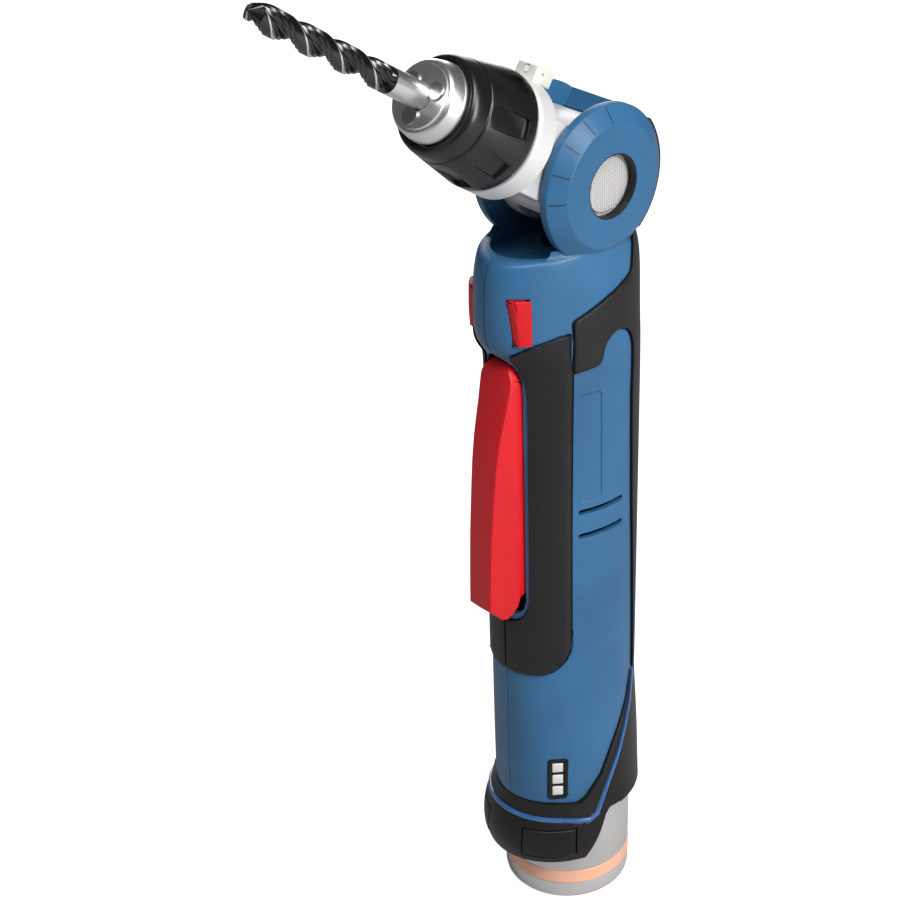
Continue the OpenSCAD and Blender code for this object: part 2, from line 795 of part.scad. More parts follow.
module trigger() {
    outline = [[-body_front - 0.3, trigger_top - 1], [-body_front - 2, trigger_top - 3],
        [-body_front - 4.5, trigger_top - 15], [-body_front - 7.3, trigger_top - 27],
        [-body_front - 9.3, trigger_top - 43.5], [-body_front - 10.6, trigger_top - 60],
        [-body_front - 11.6, trigger_low + 5.3], [-body_front - 7.3, trigger_low + 0.6],
        [-body_front - 5.2, trigger_low], [-body_front - 3.2, trigger_low + 1.2],
        [-body_front - 1.2, trigger_low + 3.4], [-body_front + 0.2, trigger_low + 7],
        [-trigger_back, trigger_low + 8], [-trigger_back, trigger_top - 14],
        [-trigger_lug, trigger_top - 11], [-trigger_lug, trigger_top - 4], [-trigger_back, trigger_top - 1.5],
        [-body_front + 1.5, trigger_top - 0.5]];
    color(red) difference() {
        union() {
            intersection() {
                side_view(outline, trigger_half_w);
                trigger_front();
            }
            box([-3.5, -trigger_back - 0.5, tongue_z - 2.5], [3.5, -14.6, tongue_z + 2.5]);
        }
        translate([0, pin_y, pin_z]) along_x() translate([0, 0, -far])
            cylinder(r = trigger_pin_r + run_gap, h = 2 * far);
    }
}

// The paddle's front is flat, with a facet to each side that widens as the paddle stands out further
module trigger_front() {
    w = trigger_half_w;
    face = 0.7 * w;
    side = -body_front - 0.7;
    nose = -body_front - 11.6;
    linear_extrude(hinge_z) polygon([[w, 0], [-w, 0], [-w, side], [-face, nose], [face, nose], [w, side]]);
}

module direction_switch() {
    color(red) intersection() {
        direction_bar(0);
        handle(outer_z, direction_travel / 2);
    }
}

// Head

module gear_housing() {
    color(silver) head_frame() difference() {
        union() {
            along_x() {
                translate([0, 0, -drum_half]) cylinder(r = drum_r, h = drum_half + cover_in);
                translate([0, 0, -ear_in - 3.6]) cylinder(r = left_hub_r, h = 5);
            }
            difference() {
                translate([-neck_half, -neck_h, 8]) cube([2 * neck_half, neck_h + neck_back, flange_d - 9]);
                along_x() translate([0, 0, cover_in]) cylinder(r = drum_r + 0.1, h = far);
            }
            translate([0, 0, flange_d - flange_w - 3.5]) cylinder(r1 = 13, r2 = sleeve_r - 1, h = 3.5);
            translate([0, 0, flange_d - flange_w]) cylinder(r = sleeve_r, h = flange_w);
        }
        along_x() {
            translate([0, 0, -drum_half + 1.5]) cylinder(r = drum_r - 2, h = drum_half + cover_in);
            translate([0, 0, -far]) cylinder(r = pin_r + part_gap, h = far);
            rotate([0, 0, -115]) rotate_extrude(angle = 140) translate([drum_r - 4, -bevel_hub_r - 1])
                square([far, 2 * bevel_hub_r + 2]);
        }
        cylinder(r = race_r + seat_gap, h = far);
        translate([-lamp_half, sleeve_r - 0.6, lamp_d - lamp_l]) cube([2 * lamp_half, far, lamp_l + seat_gap]);
    }
}

module housing_cover() {
    color(silver) head_frame() difference() {
        along_x() {
            translate([0, 0, cover_in]) cylinder(r = drum_r, h = drum_half - cover_in);
            translate([0, 0, cover_in]) cylinder(r = hub_r, h = hub_end - cover_in);
        }
        along_x() translate([0, 0, cover_in + cover_floor]) cylinder(r = hub_bore, h = far);
        box([cover_in + cover_floor, -1.65, -hub_bore - 1.1], [far, 1.65, hub_bore + 1.1]);
    }
}

module spindle_bearings() {
    color(steel) head_frame() for (d = race_at) translate([0, 0, d]) ring(race_r, race_in, race_w);
}

module led_lamp() {
    color(silver) head_frame() difference() {
        box([seat_gap - lamp_half, sleeve_r - 0.6, lamp_d - lamp_l], [lamp_half - seat_gap, lamp_top, lamp_d]);
        translate([0, lamp_top - 1.8, lamp_d - lens_l]) cylinder(r = 1 + seat_gap, h = far);
    }
}

module led_lens() {
    color([0.95, 0.95, 0.85]) head_frame() translate([0, lamp_top - 1.8, lamp_d - lens_l])
        cylinder(r = 1, h = lens_l);
}

// A tube of the given radius along a list of points
module tube(points, r, sides = 6) {
    n = len(points);
    dirs = [for (i = [0:n - 1]) let (v = points[min(i + 1, n - 1)] - points[max(i - 1, 0)]) v / norm(v)];
    rings = [for (i = [0:n - 1]) let (s = cross(dirs[i], [1, 0, 0]), u = s / norm(s), v = cross(dirs[i], u))
        for (k = [0:sides - 1]) points[i] + r * (cos(360 / sides * k) * u + sin(360 / sides * k) * v)];
    loft(rings, sides);
}

module lock_spring() {
    turns = 1.5;
    low = cover_in + cover_floor + 0.5;
    rise = lock_back - 0.5 - low;
    color(steel) head_frame() tube([for (a = [0:15:360 * turns])
        [low + rise * a / 360 / turns, (button_r - 1.5) * cos(a), (button_r - 1.5) * sin(a)]], 0.4);
}

module bearing_cages() {
    color([0.75, 0.6, 0.3]) head_frame() for (d = race_at) translate([0, 0, d + race_w / 2]) {
        translate([0, 0, -0.5]) ring(ball_pitch + 0.4, ball_pitch - 0.4, 1);
        for (i = [0:ball_n - 1]) rotate([0, 0, 360 / ball_n * i]) translate([ball_pitch, 0, 0])
            sphere(r = ball_r);
    }
}

// Spindle and chuck

module spindle() {
    back = bevel_q + bevel_hub_l;
    color(steel) spindle_frame() difference() {
        union() {
            translate([0, 0, bevel_q * 0.7]) cylinder(r = bevel_bore - seat_gap, h = back);
            translate([0, 0, back]) cylinder(r = spindle_r, h = chuck_d + 8 - back);
        }
        translate([0, 0, chuck_d + 2]) cylinder(r = 2 + seat_gap, h = far);
    }
}

module spindle_bevel() {
    color([0.55, 0.55, 0.58]) spindle_frame() mirror([0, 0, 1]) bevel_solid();
}

module jaw_frame(i) {
    rotate([0, 0, 360 / jaw_n * (i - 1) + 90]) translate([jaw_grip + 0.75 * jaw_r, 0, nose_d])
        rotate([0, -jaw_angle, 0]) children();
}

module chuck_body() {
    color(steel) spindle_frame() difference() {
        rotate_extrude() polygon([[0, chuck_d], [body_core_r, chuck_d], [body_core_r, nut_d - 0.6],
            [body_core_r - 1, nut_d - 0.6], [body_core_r - 1, nut_d + nut_w - 0.3],
            [collar_r, nut_d + nut_w - 0.3],
            [collar_r, nose_d - 5], [collar_r - 0.9, nose_d - 1.2], [nose_r, nose_d], [0, nose_d]]);
        translate([0, 0, chuck_d - 1]) cylinder(r = spindle_r + seat_gap, h = 9);
        translate([0, 0, chuck_d + 7]) cylinder(r = bit_r + 0.05, h = far);
        for (i = [1:jaw_n]) jaw_frame(i) translate([0, 0, -30]) cylinder(r = jaw_r + run_gap, h = 60);
    }
}

module chuck_screw() {
    color([0.3, 0.3, 0.32]) spindle_frame() {
        translate([0, 0, chuck_d + 2.2]) cylinder(r = 2, h = 6);
        translate([0, 0, chuck_d + 8.02]) cylinder(r = bit_r - 0.4, h = 2.4);
    }
}

module chuck_sleeve() {
    front = nose_d - 6.4;
    color(black) spindle_frame() difference() {
        rotate_extrude() polygon([[sleeve_r - 0.9, chuck_d + 0.2], [sleeve_r, chuck_d + 1.2],
            [sleeve_r, chuck_d + 3.4], [sleeve_r - 3.5, front - 1.8], [sleeve_r - 4, front - 0.6],
            [sleeve_r - 4.8, front], [collar_r + 0.5, front], [collar_r + 0.5, nut_d + nut_w],
            [nut_seat_r, nut_d + nut_w], [nut_seat_r, nut_d - 0.1], [sleeve_r - 2.5, chuck_d + 0.2]]);
        for (i = [0:flute_n - 1]) rotate([0, 0, 360 / flute_n * i])
            translate([sleeve_r - 1.9, -flute_w / 2, chuck_d + 4]) rotate([0, -flute_lean, 0])
            cube([5, flute_w, far]);
    }
}

module chuck_nut() {
    color(steel) spindle_frame() translate([0, 0, nut_d])
        ring(nut_seat_r - 2 * run_gap, body_core_r - 0.1, nut_w - seat_gap);
}

module jaw(i) {
    color([0.35, 0.35, 0.37]) spindle_frame() intersection() {
        jaw_frame(i) translate([0, 0, -jaw_tail]) cylinder(r = jaw_r, h = jaw_tail + 5);
        rotate([0, 0, 360 / jaw_n * (i - 1) + 90]) box([jaw_grip, -far, 0], [far, far, nose_d + 0.6]);
    }
}

// How far a flute cuts in at an angle round the bit: two flutes, each over two thirds of its half
function flute_dip(a) = let (off = abs((a + 90) % 180 - 90)) cos(min(90, 1.5 * off));

module drill_bit() {
    n = 24;
    slices = 30;
    pitch = 27;
    depth = 0.6;
    point = bit_r / tan(59);
    low = bit_tip_d - flute_l;
    zs = concat([low - 1], [for (k = [0:slices]) low + (flute_l - point) * k / slices],
        [bit_tip_d - point / 2, bit_tip_d - point / 20]);
    color(steel) spindle_frame() {
        translate([0, 0, bit_tail_d]) cylinder(r = bit_r, h = low - bit_tail_d);
        loft([for (z = zs, i = [0:n - 1])
            let (a = 360 / n * i, turn = 360 * (z - low) / pitch, cut = depth * flute_dip(a),
                r = min(bit_r - 0.06, bit_r * (bit_tip_d - z) / point) * (1 - cut))
            [r * cos(a + turn), r * sin(a + turn), z]], n);
    }
}

module idler_bevel() {
    color([0.55, 0.55, 0.58]) hinge_frame() along_x() difference() {
        union() {
            bevel(idler_teeth, idler_cone, idler_q, 180 / idler_teeth);
            translate([0, 0, -idler_q - 3.2])
                cylinder(r = idler_q * tan(idler_cone - root_angle) - 0.5, h = 3.21);
        }
        translate([0, 0, -far]) cylinder(r = pin_r + run_gap, h = far);
    }
}

module lock_button() {
    back = lock_back;
    color([0.88, 0.87, 0.85]) head_frame() {
        along_x() rotate_extrude() polygon([[0, back], [seat_r + 0.75, back], [seat_r + 0.75, hub_end + 0.1],
            [seat_r, hub_end + 0.85], [button_r, hub_end + 0.85], [button_r, hub_end + 1.66],
            [0, hub_end + 1.66]]);
        for (s = [-1, 1]) box([back, -1.5, s > 0 ? seat_r : -hub_bore - 0.9],
            [back + 2, 1.5, s > 0 ? hub_bore + 0.9 : -seat_r]);
    }
}

// Battery

module lobe_places() {
    for (turn = [0:2]) translate([0, stem_y, 0]) rotate([0, 0, 120 * turn - 90]) translate([lobe_at, 0, 0])
        children();
}

module stem_lobes(h, r) {
    lobe_places() cylinder(r = r, h = h);
    side = lobe_at * sqrt(3) / 2;
    flat = lobe_at / 2 + r - lobe_dip;
    translate([0, stem_y, 0]) for (turn = [0:2]) rotate([0, 0, 120 * turn - 90])
        translate([-flat, -side, 0]) cube([flat, 2 * side, h]);
}

module battery_base() {
    color([0.7, 0.7, 0.71]) difference() {
        union() {
            cylinder(r = battery_r, h = base_h);
            intersection() {
                cylinder(r = battery_r, h = base_h + 20);
                below_collar(0.7);
            }
        }
        translate([0, 0, base_h]) stem_lobes(far, lobe_r + seat_gap);
        translate([0, 0, 7.3]) difference() {
            cylinder(r = battery_r + 1, h = band_w);
            cylinder(r = battery_r - 0.8, h = band_w);
        }
    }
}

module battery_stem() {
    color([0.25, 0.25, 0.27]) difference() {
        translate([0, 0, stem_z]) stem_lobes(stem_top - stem_z, lobe_r);
        lobe_places() translate([0, 0, stem_z - 1]) cylinder(r = cell_r + 0.15, h = cell_l + 1.8);
    }
}

module battery_band() {
    color([0.95, 0.72, 0.55]) translate([0, 0, 7.3 + seat_gap])
        ring(battery_r + 0.15, battery_r - 0.8 + seat_gap, band_w - 2 * seat_gap);
}

module battery_cells() {
    color([0.3, 0.5, 0.4]) lobe_places() translate([0, 0, stem_z]) cylinder(r = cell_r, h = cell_l);
}

module battery_terminals() {
    color(black) difference() {
        box([-8, -8, stem_top], [8, 4, stem_top + 8]);
        for (x = [-5, 0, 5]) box([x - 0.8, -5.6, stem_top + 1], [x + 0.8, 1.6, stem_top + 9]);
    }
}

module release(side) {
    color([0.13, 0.13, 0.14]) {
        intersection() {
            release_frame(side) release_block(0);
            difference() {
                handle(collar_rings, [for (g = collar_grow) g + 0.4]);
                handle(collar_rings, [for (g = collar_grow) g - 1.2]);
            }
        }
        release_frame(side) translate([-3, -3.5, release_in]) cube([6, 7, 8]);
    }
}

module release_right() {
    release(1);
}

module release_left() {
    release(-1);
}

right_shell();
left_shell();
right_grip();
left_grip();
rear_grip();
base_collar();
shell_screws();
hinge_cap();
idler_pin();
motor_can();
motor_magnets();
motor_endcap();
motor_brushes();
motor_bushes();
ring_gear();
gearbox_plate();
pinion_bearing();
switch_module();
trigger_pin();
gauge_board();
gauge_window();
terminal_block();
terminal_blades();
gear_housing();
housing_cover();
spindle_bearings();
led_lamp();
led_lens();
lock_spring();
bearing_cages();
spindle();
spindle_bevel();
chuck_body();
chuck_screw();
chuck_sleeve();
chuck_nut();
jaw(1);  // jaw_1
jaw(2);  // jaw_2
jaw(3);  // jaw_3
drill_bit();
idler_bevel();
output_carrier();
bevel_pinion();
planet(1);  // planet_1
planet(2);  // planet_2
planet(3);  // planet_3
motor_shaft();
armature();
commutator();
trigger();
direction_switch();
lock_button();
battery_base();
battery_stem();
battery_band();
battery_cells();
battery_terminals();
release_right();
release_left();
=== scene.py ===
# %% [markdown]
# # A cordless right angle drill
# The solids and the joints of this drill come from a CAD model. This lesson dresses them: each piece
# that shows is modelled again with softer edges and finer forms, in the same place and at the same
# size, and it rides on the CAD body that it belongs to. Pieces deep inside keep their CAD shape.

# %% Load the CAD frame
import json
import math

import bmesh
import bpy
from mathutils import Matrix, Vector


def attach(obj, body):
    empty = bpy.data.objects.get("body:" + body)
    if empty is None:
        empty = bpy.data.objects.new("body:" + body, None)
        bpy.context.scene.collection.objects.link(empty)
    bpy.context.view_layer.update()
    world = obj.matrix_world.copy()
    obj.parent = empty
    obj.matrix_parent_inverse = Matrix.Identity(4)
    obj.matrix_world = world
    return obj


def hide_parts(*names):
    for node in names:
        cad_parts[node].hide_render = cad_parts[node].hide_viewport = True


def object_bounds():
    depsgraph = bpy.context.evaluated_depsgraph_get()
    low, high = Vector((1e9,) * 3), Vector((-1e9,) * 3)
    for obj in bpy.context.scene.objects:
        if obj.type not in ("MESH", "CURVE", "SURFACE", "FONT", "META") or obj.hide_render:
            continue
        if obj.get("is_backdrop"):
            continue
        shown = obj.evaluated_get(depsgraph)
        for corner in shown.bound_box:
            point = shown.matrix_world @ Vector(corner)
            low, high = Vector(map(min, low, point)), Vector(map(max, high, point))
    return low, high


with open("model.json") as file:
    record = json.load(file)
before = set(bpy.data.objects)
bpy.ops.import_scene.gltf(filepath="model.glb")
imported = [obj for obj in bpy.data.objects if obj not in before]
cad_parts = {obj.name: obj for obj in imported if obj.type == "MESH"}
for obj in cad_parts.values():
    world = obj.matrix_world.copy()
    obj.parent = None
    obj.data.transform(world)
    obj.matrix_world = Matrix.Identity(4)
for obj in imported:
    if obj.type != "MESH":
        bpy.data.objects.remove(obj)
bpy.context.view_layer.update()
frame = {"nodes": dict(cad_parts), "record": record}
nodes = frame["nodes"]
scene = bpy.context.scene

# %% [markdown]
# ## Camera, light and floor
# The picture was taken from the front right and from above, with a fairly long lens, so the upright
# handle converges downwards. One soft light hangs high in front, a tall one stands to the right, a weak
# one fills the front, another lights the back, and the floor reads as a white studio table.

# %% Camera
turn, rise, roll = (math.radians(a) for a in (45.62, 30.33, -0.47))
behind = Vector((math.sin(turn) * math.cos(rise), -math.cos(turn) * math.cos(rise), math.sin(rise)))
right = Vector((math.cos(turn), math.sin(turn), 0))
up = behind.cross(right)
axes = Matrix((right * math.cos(roll) + up * math.sin(roll), up * math.cos(roll) - right * math.sin(roll),
               behind)).transposed().to_4x4()
camera = bpy.data.objects.new("camera", bpy.data.cameras.new("camera"))
scene.collection.objects.link(camera)
camera.matrix_world = Matrix.Translation((0.4112, -0.4154, 0.5123)) @ axes
camera.data.sensor_width = 36
camera.data.lens = 82.23
camera.data.shift_x = -0.0985
camera.data.shift_y = 0.0118
scene.camera = camera
scene.view_settings.view_transform = "Standard"
print("camera", round(math.degrees(rise), 1), "degrees above the table")

# %% Lights
world = bpy.data.worlds.new("studio")
scene.world = world
world.use_nodes = True
world.node_tree.nodes["Background"].inputs["Color"].default_value = (0.93, 0.95, 1, 1)
seen = world.node_tree.nodes.new("ShaderNodeLightPath")
strength = world.node_tree.nodes.new("ShaderNodeMapRange")
strength.inputs["To Min"].default_value = 0.09
strength.inputs["To Max"].default_value = 1.1
world.node_tree.links.new(seen.outputs["Is Camera Ray"], strength.inputs["Value"])
world.node_tree.links.new(strength.outputs["Result"], world.node_tree.nodes["Background"].inputs["Strength"])


def soft_light(name, place, size, power, aim=(0, -0.02, 0.16)):
    light = bpy.data.objects.new(name, bpy.data.lights.new(name, "AREA"))
    scene.collection.objects.link(light)
    light.data.shape = "RECTANGLE"
    light.data.size, light.data.size_y = size
    light.data.energy = power
    light.location = place
    light.rotation_euler = (Vector(aim) - Vector(place)).to_track_quat("-Z", "Y").to_euler()


soft_light("side", (1.15, 0.1, 0.7), (0.35, 1.1), 16)
soft_light("fill", (-0.3, -1.15, 0.6), (0.3, 1.0), 0.9)
soft_light("top", (0.55, -0.38, 1.4), (0.7, 0.7), 14)
soft_light("back", (-1.1, 0.9, 0.6), (0.6, 1.0), 6)

# %% [markdown]
# ## Helpers
# Everything is modelled in millimetres and scaled to metres at the end. The helpers wrap a few steps
# that come back all the time: going into edit mode, picking by place, turning an outline as on a
# lathe, sweeping a flat outline, and cutting one piece with another.

# %% Helpers for edit mode
def start_clean():
    if bpy.context.mode != "OBJECT":
        bpy.ops.object.mode_set(mode="OBJECT")
    bpy.ops.object.select_all(action="DESELECT")


def activate(piece):
    start_clean()
    piece.select_set(True)
    bpy.context.view_layer.objects.active = piece


def named(name):
    piece = bpy.context.active_object
    piece.name = piece.data.name = name
    return piece


def edit(piece):
    activate(piece)
    bpy.ops.object.mode_set(mode="EDIT")


def pick(piece, kind, test):
    bpy.ops.mesh.select_mode(type=kind)
    bpy.ops.mesh.select_all(action="DESELECT")
    shape = bmesh.from_edit_mesh(piece.data)
    for item in {"VERT": shape.verts, "EDGE": shape.edges, "FACE": shape.faces}[kind]:
        if test(item):
            item.select_set(True)
    shape.select_flush_mode()
    bmesh.update_edit_mesh(piece.data)


def at_height(z):
    """A test for edges and faces whose corners all lie at one height."""
    return lambda item: all(abs(v.co.z - z) < 1e-3 for v in item.verts)


def place(piece, matrix):
    activate(piece)
    piece.matrix_world = matrix @ piece.matrix_world
    bpy.ops.object.transform_apply(location=True, rotation=True, scale=True)
    return piece


def apply_modifier(piece, kind, **settings):
    activate(piece)
    step = piece.modifiers.new(kind.lower(), kind)
    for key, value in settings.items():
        setattr(step, key, value)
    bpy.ops.object.modifier_apply(modifier=step.name)
    return piece


def combine(piece, other, how="DIFFERENCE"):
    apply_modifier(piece, "BOOLEAN", operation=how, object=other, solver="EXACT")
    bpy.data.objects.remove(other)
    return piece


def twin(piece, name):
    activate(piece)
    bpy.ops.object.duplicate()
    return named(name)


def soften(piece, width, segments=2, angle=38):
    """Bevels the sharp edges, after merging the crumbs that cuts leave behind."""
    edit(piece)
    bpy.ops.mesh.select_all(action="SELECT")
    bpy.ops.mesh.remove_doubles(threshold=0.05)
    bpy.ops.mesh.dissolve_degenerate(threshold=0.03)
    bpy.ops.object.mode_set(mode="OBJECT")
    apply_modifier(piece, "BEVEL", width=width, segments=segments, limit_method="ANGLE",
                   angle_limit=math.radians(angle), use_clamp_overlap=False, harden_normals=False)
    return piece


# %% Helpers for shapes
def spot(name, point):
    """A single vertex to walk an outline from."""
    start_clean()
    bpy.ops.mesh.primitive_plane_add(size=1)
    piece = named(name)
    edit(piece)
    bpy.ops.mesh.select_all(action="SELECT")
    bpy.ops.mesh.merge(type="CENTER")
    bpy.ops.mesh.select_mode(type="VERT")
    bpy.ops.mesh.select_all(action="SELECT")
    bpy.ops.transform.translate(value=point)
    return piece


def walk(points):
    for a, b in zip(points, points[1:]):
        bpy.ops.mesh.extrude_vertices_move(TRANSFORM_OT_translate={"value": Vector(b) - Vector(a)})


def tidy_edit():
    bpy.ops.mesh.select_all(action="SELECT")
    bpy.ops.mesh.remove_doubles(threshold=0.002)
    bpy.ops.mesh.normals_make_consistent(inside=False)
    bpy.ops.object.mode_set(mode="OBJECT")


def turned(name, outline, steps=96):
    """Spins an outline of (radius, height) about Z."""
    points = [(r, 0, h) for r, h in outline]
    piece = spot(name, points[0])
    walk(points)
    bpy.ops.mesh.select_all(action="SELECT")
    bpy.ops.mesh.spin(steps=steps, angle=2 * math.pi, center=(0, 0, 0), axis=(0, 0, 1))
    tidy_edit()
    return piece


def prism(name, points, sweep, rounding=0.0):
    """Sweeps a flat outline along a vector, with its corners rounded first."""
    piece = spot(name, points[0])
    walk(points)
    bpy.ops.mesh.select_all(action="SELECT")
    bpy.ops.mesh.edge_face_add()
    if rounding:
        bpy.ops.mesh.bevel(offset=rounding, segments=5, affect="VERTICES", clamp_overlap=True)
    bpy.ops.mesh.select_all(action="SELECT")
    bpy.ops.mesh.extrude_region_move(TRANSFORM_OT_translate={"value": sweep})
    tidy_edit()
    return piece


def wider(outline, gap):
    """A closed 2-D outline with every side moved outwards by the gap."""
    n = len(outline)
    area = sum(outline[i - 1][0] * outline[i][1] - outline[i][0] * outline[i - 1][1] for i in range(n))
    sign = 1 if area > 0 else -1
    result = []
    for i in range(n):
        before, here, after = (Vector(outline[(i + k) % n]) for k in (-1, 0, 1))
        one, two = (here - before).normalized(), (after - here).normalized()
        out_one, out_two = Vector((one.y, -one.x)) * sign, Vector((two.y, -two.x)) * sign
        middle = out_one + out_two
        result.append(tuple(here + middle * gap / max(0.4, middle.dot(out_one))))
    return result


def side_prism(name, outline, low, high, rounding=0.0):
    """A prism along X from an outline in side view, given as (y, z)."""
    return prism(name, [(low, y, z) for y, z in outline], (high - low, 0, 0), rounding)


def front_prism(name, outline, low, high, rounding=0.0):
    """A prism along Y from an outline in front view, given as (x, z)."""
    return prism(name, [(x, low, z) for x, z in outline], (0, high - low, 0), rounding)


def block(low, high):
    start_clean()
    middle = [(a + b) / 2 for a, b in zip(low, high)]
    bpy.ops.mesh.primitive_cube_add(size=1, location=middle, scale=[b - a for a, b in zip(low, high)])
    return place(named("block"), Matrix())


def rod(radius, low, high, matrix=Matrix(), sides=64):
    """A cylinder along Z between two heights, then moved by the matrix."""
    start_clean()
    bpy.ops.mesh.primitive_cylinder_add(vertices=sides, radius=radius, depth=high - low,
                                        location=(0, 0, (low + high) / 2))
    return place(named("rod"), matrix)


def oval_column(name, rows, sides=48, levels=2):
    """A closed column of oval sections; each row is (height, half width, front depth, back depth)."""
    start_clean()
    bpy.ops.mesh.primitive_circle_add(vertices=sides, radius=1, fill_type="NGON")
    piece = named(name)
    edit(piece)
    last = (0, 1, 1, 1)
    for number, row in enumerate(rows):
        step = (0, 0, row[0] - last[0])
        if number:
            bpy.ops.mesh.extrude_region_move(TRANSFORM_OT_translate={"value": step})
        else:
            bpy.ops.transform.translate(value=step)
        z = row[0]
        for sign, was, now in ((-1, last[2], row[2]), (1, last[3], row[3])):
            pick(piece, "VERT", lambda v: abs(v.co.z - z) < 1e-3 and v.co.y * sign > 1e-3)
            bpy.ops.transform.resize(value=(1, now / was, 1), center_override=(0, 0, z))
        pick(piece, "VERT", lambda v: abs(v.co.z - z) < 1e-3)
        bpy.ops.transform.resize(value=(row[1] / last[1], 1, 1), center_override=(0, 0, z))
        pick(piece, "FACE", at_height(z))
        last = row
    ends = (rows[0][0], rows[-1][0])
    pick(piece, "EDGE", lambda e: any(at_height(z)(e) for z in ends))
    bpy.ops.transform.edge_crease(value=1)
    tidy_edit()
    return apply_modifier(piece, "SUBSURF", levels=levels, render_levels=levels)


def settle(piece, body, slot, finish, *stands_for, matrix=Matrix(), angle=32):
    """Scales a finished piece to metres, puts it on its CAD body and gives it its finish."""
    place(piece, Matrix.Scale(0.001, 4) @ matrix)
    bpy.ops.object.shade_smooth_by_angle(angle=math.radians(angle))
    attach(piece, body)
    if stands_for:
        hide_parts(*stands_for)
    for one in finish if isinstance(finish, list) else [finish]:
        piece.data.materials.append(one)
    low, high = ([round(1000 * f(v.co[i] for v in piece.data.vertices), 1) for i in range(3)]
                 for f in (min, max))
    print(piece.name, len(piece.data.polygons), "faces, mm", low, high)
    return piece


# %% [markdown]
# ## Finishes
# Moulded plastic is never quite even: the mould leaves a fine grain, and the colour drifts a little.
# One shared node group gives both, in metres of the object's own space. Each finish mixes them into a
# shader of its own.

# %% Shared grain
def new_group(name, inputs, outputs):
    group = bpy.data.node_groups.new(name, "ShaderNodeTree")
    for label, value in inputs:
        group.interface.new_socket(label, in_out="INPUT", socket_type="NodeSocketFloat").default_value = value
    for label in outputs:
        group.interface.new_socket(label, in_out="OUTPUT", socket_type="NodeSocketFloat")
    return group, group.nodes.new("NodeGroupInput"), group.nodes.new("NodeGroupOutput")


moulded_grain, grain_in, grain_out = new_group("moulded_grain", [("Scale", 2500), ("Drift", 35)],
                                               ["Height", "Tone"])
spots = moulded_grain.nodes.new("ShaderNodeTexCoord")
for socket, output, detail in (("Scale", "Height", 3), ("Drift", "Tone", 2)):
    noise = moulded_grain.nodes.new("ShaderNodeTexNoise")
    noise.inputs["Detail"].default_value = detail
    moulded_grain.links.new(spots.outputs["Object"], noise.inputs["Vector"])
    moulded_grain.links.new(grain_in.outputs[socket], noise.inputs["Scale"])
    moulded_grain.links.new(noise.outputs["Fac"], grain_out.inputs[output])
print("group", moulded_grain.name, [s.name for s in moulded_grain.interface.items_tree])


# %% One function for the finishes
def finish(name, colour, rough, metal=0.0, scale=2500, depth=0.05, drift=0.12, coat=0.0, shine=0.5):
    made = bpy.data.materials.new(name)
    made.use_nodes = True
    tree = made.node_tree
    shader = tree.nodes["Principled BSDF"]
    shader.inputs["Metallic"].default_value = metal
    shader.inputs["Coat Weight"].default_value = coat
    shader.inputs["Specular IOR Level"].default_value = shine
    grain = tree.nodes.new("ShaderNodeGroup")
    grain.node_tree = moulded_grain
    grain.inputs["Scale"].default_value = scale
    ramp = tree.nodes.new("ShaderNodeValToRGB")
    for stop, at, share in zip(ramp.color_ramp.elements, (0.3, 0.7), (1 - drift, 1 + drift)):
        stop.position = at
        stop.color = [min(1, c * share) for c in colour] + [1]
    tree.links.new(grain.outputs["Tone"], ramp.inputs["Fac"])
    tree.links.new(ramp.outputs["Color"], shader.inputs["Base Color"])
    spread = tree.nodes.new("ShaderNodeMapRange")
    spread.inputs["To Min"].default_value = max(0, rough - 0.07)
    spread.inputs["To Max"].default_value = rough + 0.07
    tree.links.new(grain.outputs["Height"], spread.inputs["Value"])
    tree.links.new(spread.outputs["Result"], shader.inputs["Roughness"])
    bump = tree.nodes.new("ShaderNodeBump")
    bump.inputs["Strength"].default_value = depth
    bump.inputs["Distance"].default_value = 0.0002
    tree.links.new(grain.outputs["Height"], bump.inputs["Height"])
    tree.links.new(bump.outputs["Normal"], shader.inputs["Normal"])
    return made


blue_satin = finish("blue_satin", (0.030, 0.120, 0.25), 0.36, depth=0.06, shine=0.35)
blue_gloss = finish("blue_gloss", (0.03, 0.115, 0.30), 0.12, depth=0.0, coat=0.5)
rubber = finish("rubber", (0.0115, 0.0113, 0.0115), 0.47, scale=1800, depth=0.22, shine=0.3)
black_plastic = finish("black_plastic", (0.008, 0.008, 0.0085), 0.42, depth=0.08, shine=0.3)
collar_black = finish("collar_black", (0.006, 0.006, 0.0065), 0.42, scale=900, depth=0.2, shine=0.3)
band_grey = finish("band_grey", (0.009, 0.0085, 0.008), 0.45, shine=0.3)
red_plastic = finish("red_plastic", (0.60, 0.007, 0.013), 0.40, drift=0.05, shine=0.35)
cast_alloy = finish("cast_alloy", (0.80, 0.80, 0.785), 0.42, metal=0.35, scale=1200, depth=0.08, drift=0.04)
nose_steel = finish("nose_steel", (0.82, 0.82, 0.81), 0.33, metal=1.0, depth=0.02, drift=0.04)
sleeve_black = finish("sleeve_black", (0.005, 0.005, 0.0055), 0.30, depth=0.03, shine=0.6)
flute_dark = finish("flute_dark", (0.085, 0.082, 0.08), 0.24, metal=1.0, depth=0.03)
machine_steel = finish("machine_steel", (0.50, 0.50, 0.51), 0.30, metal=1.0, depth=0.03)
battery_grey = finish("battery_grey", (0.60, 0.585, 0.58), 0.36, metal=0.6, scale=1500, depth=0.04,
                      drift=0.03)
band_orange = finish("band_orange", (0.86, 0.45, 0.29), 0.42, drift=0.04)
lamp_cream = finish("lamp_cream", (0.66, 0.65, 0.58), 0.45, drift=0.05)
print("finishes:", len(bpy.data.materials))

# %% [markdown]
# ## The handle's form
# The handle is a column of oval sections, deeper in front than behind, that grows a block under the
# head for the switch. In a drawing office this is a loft through a few sections, so here a circle is
# extruded from section to section and then smoothed.

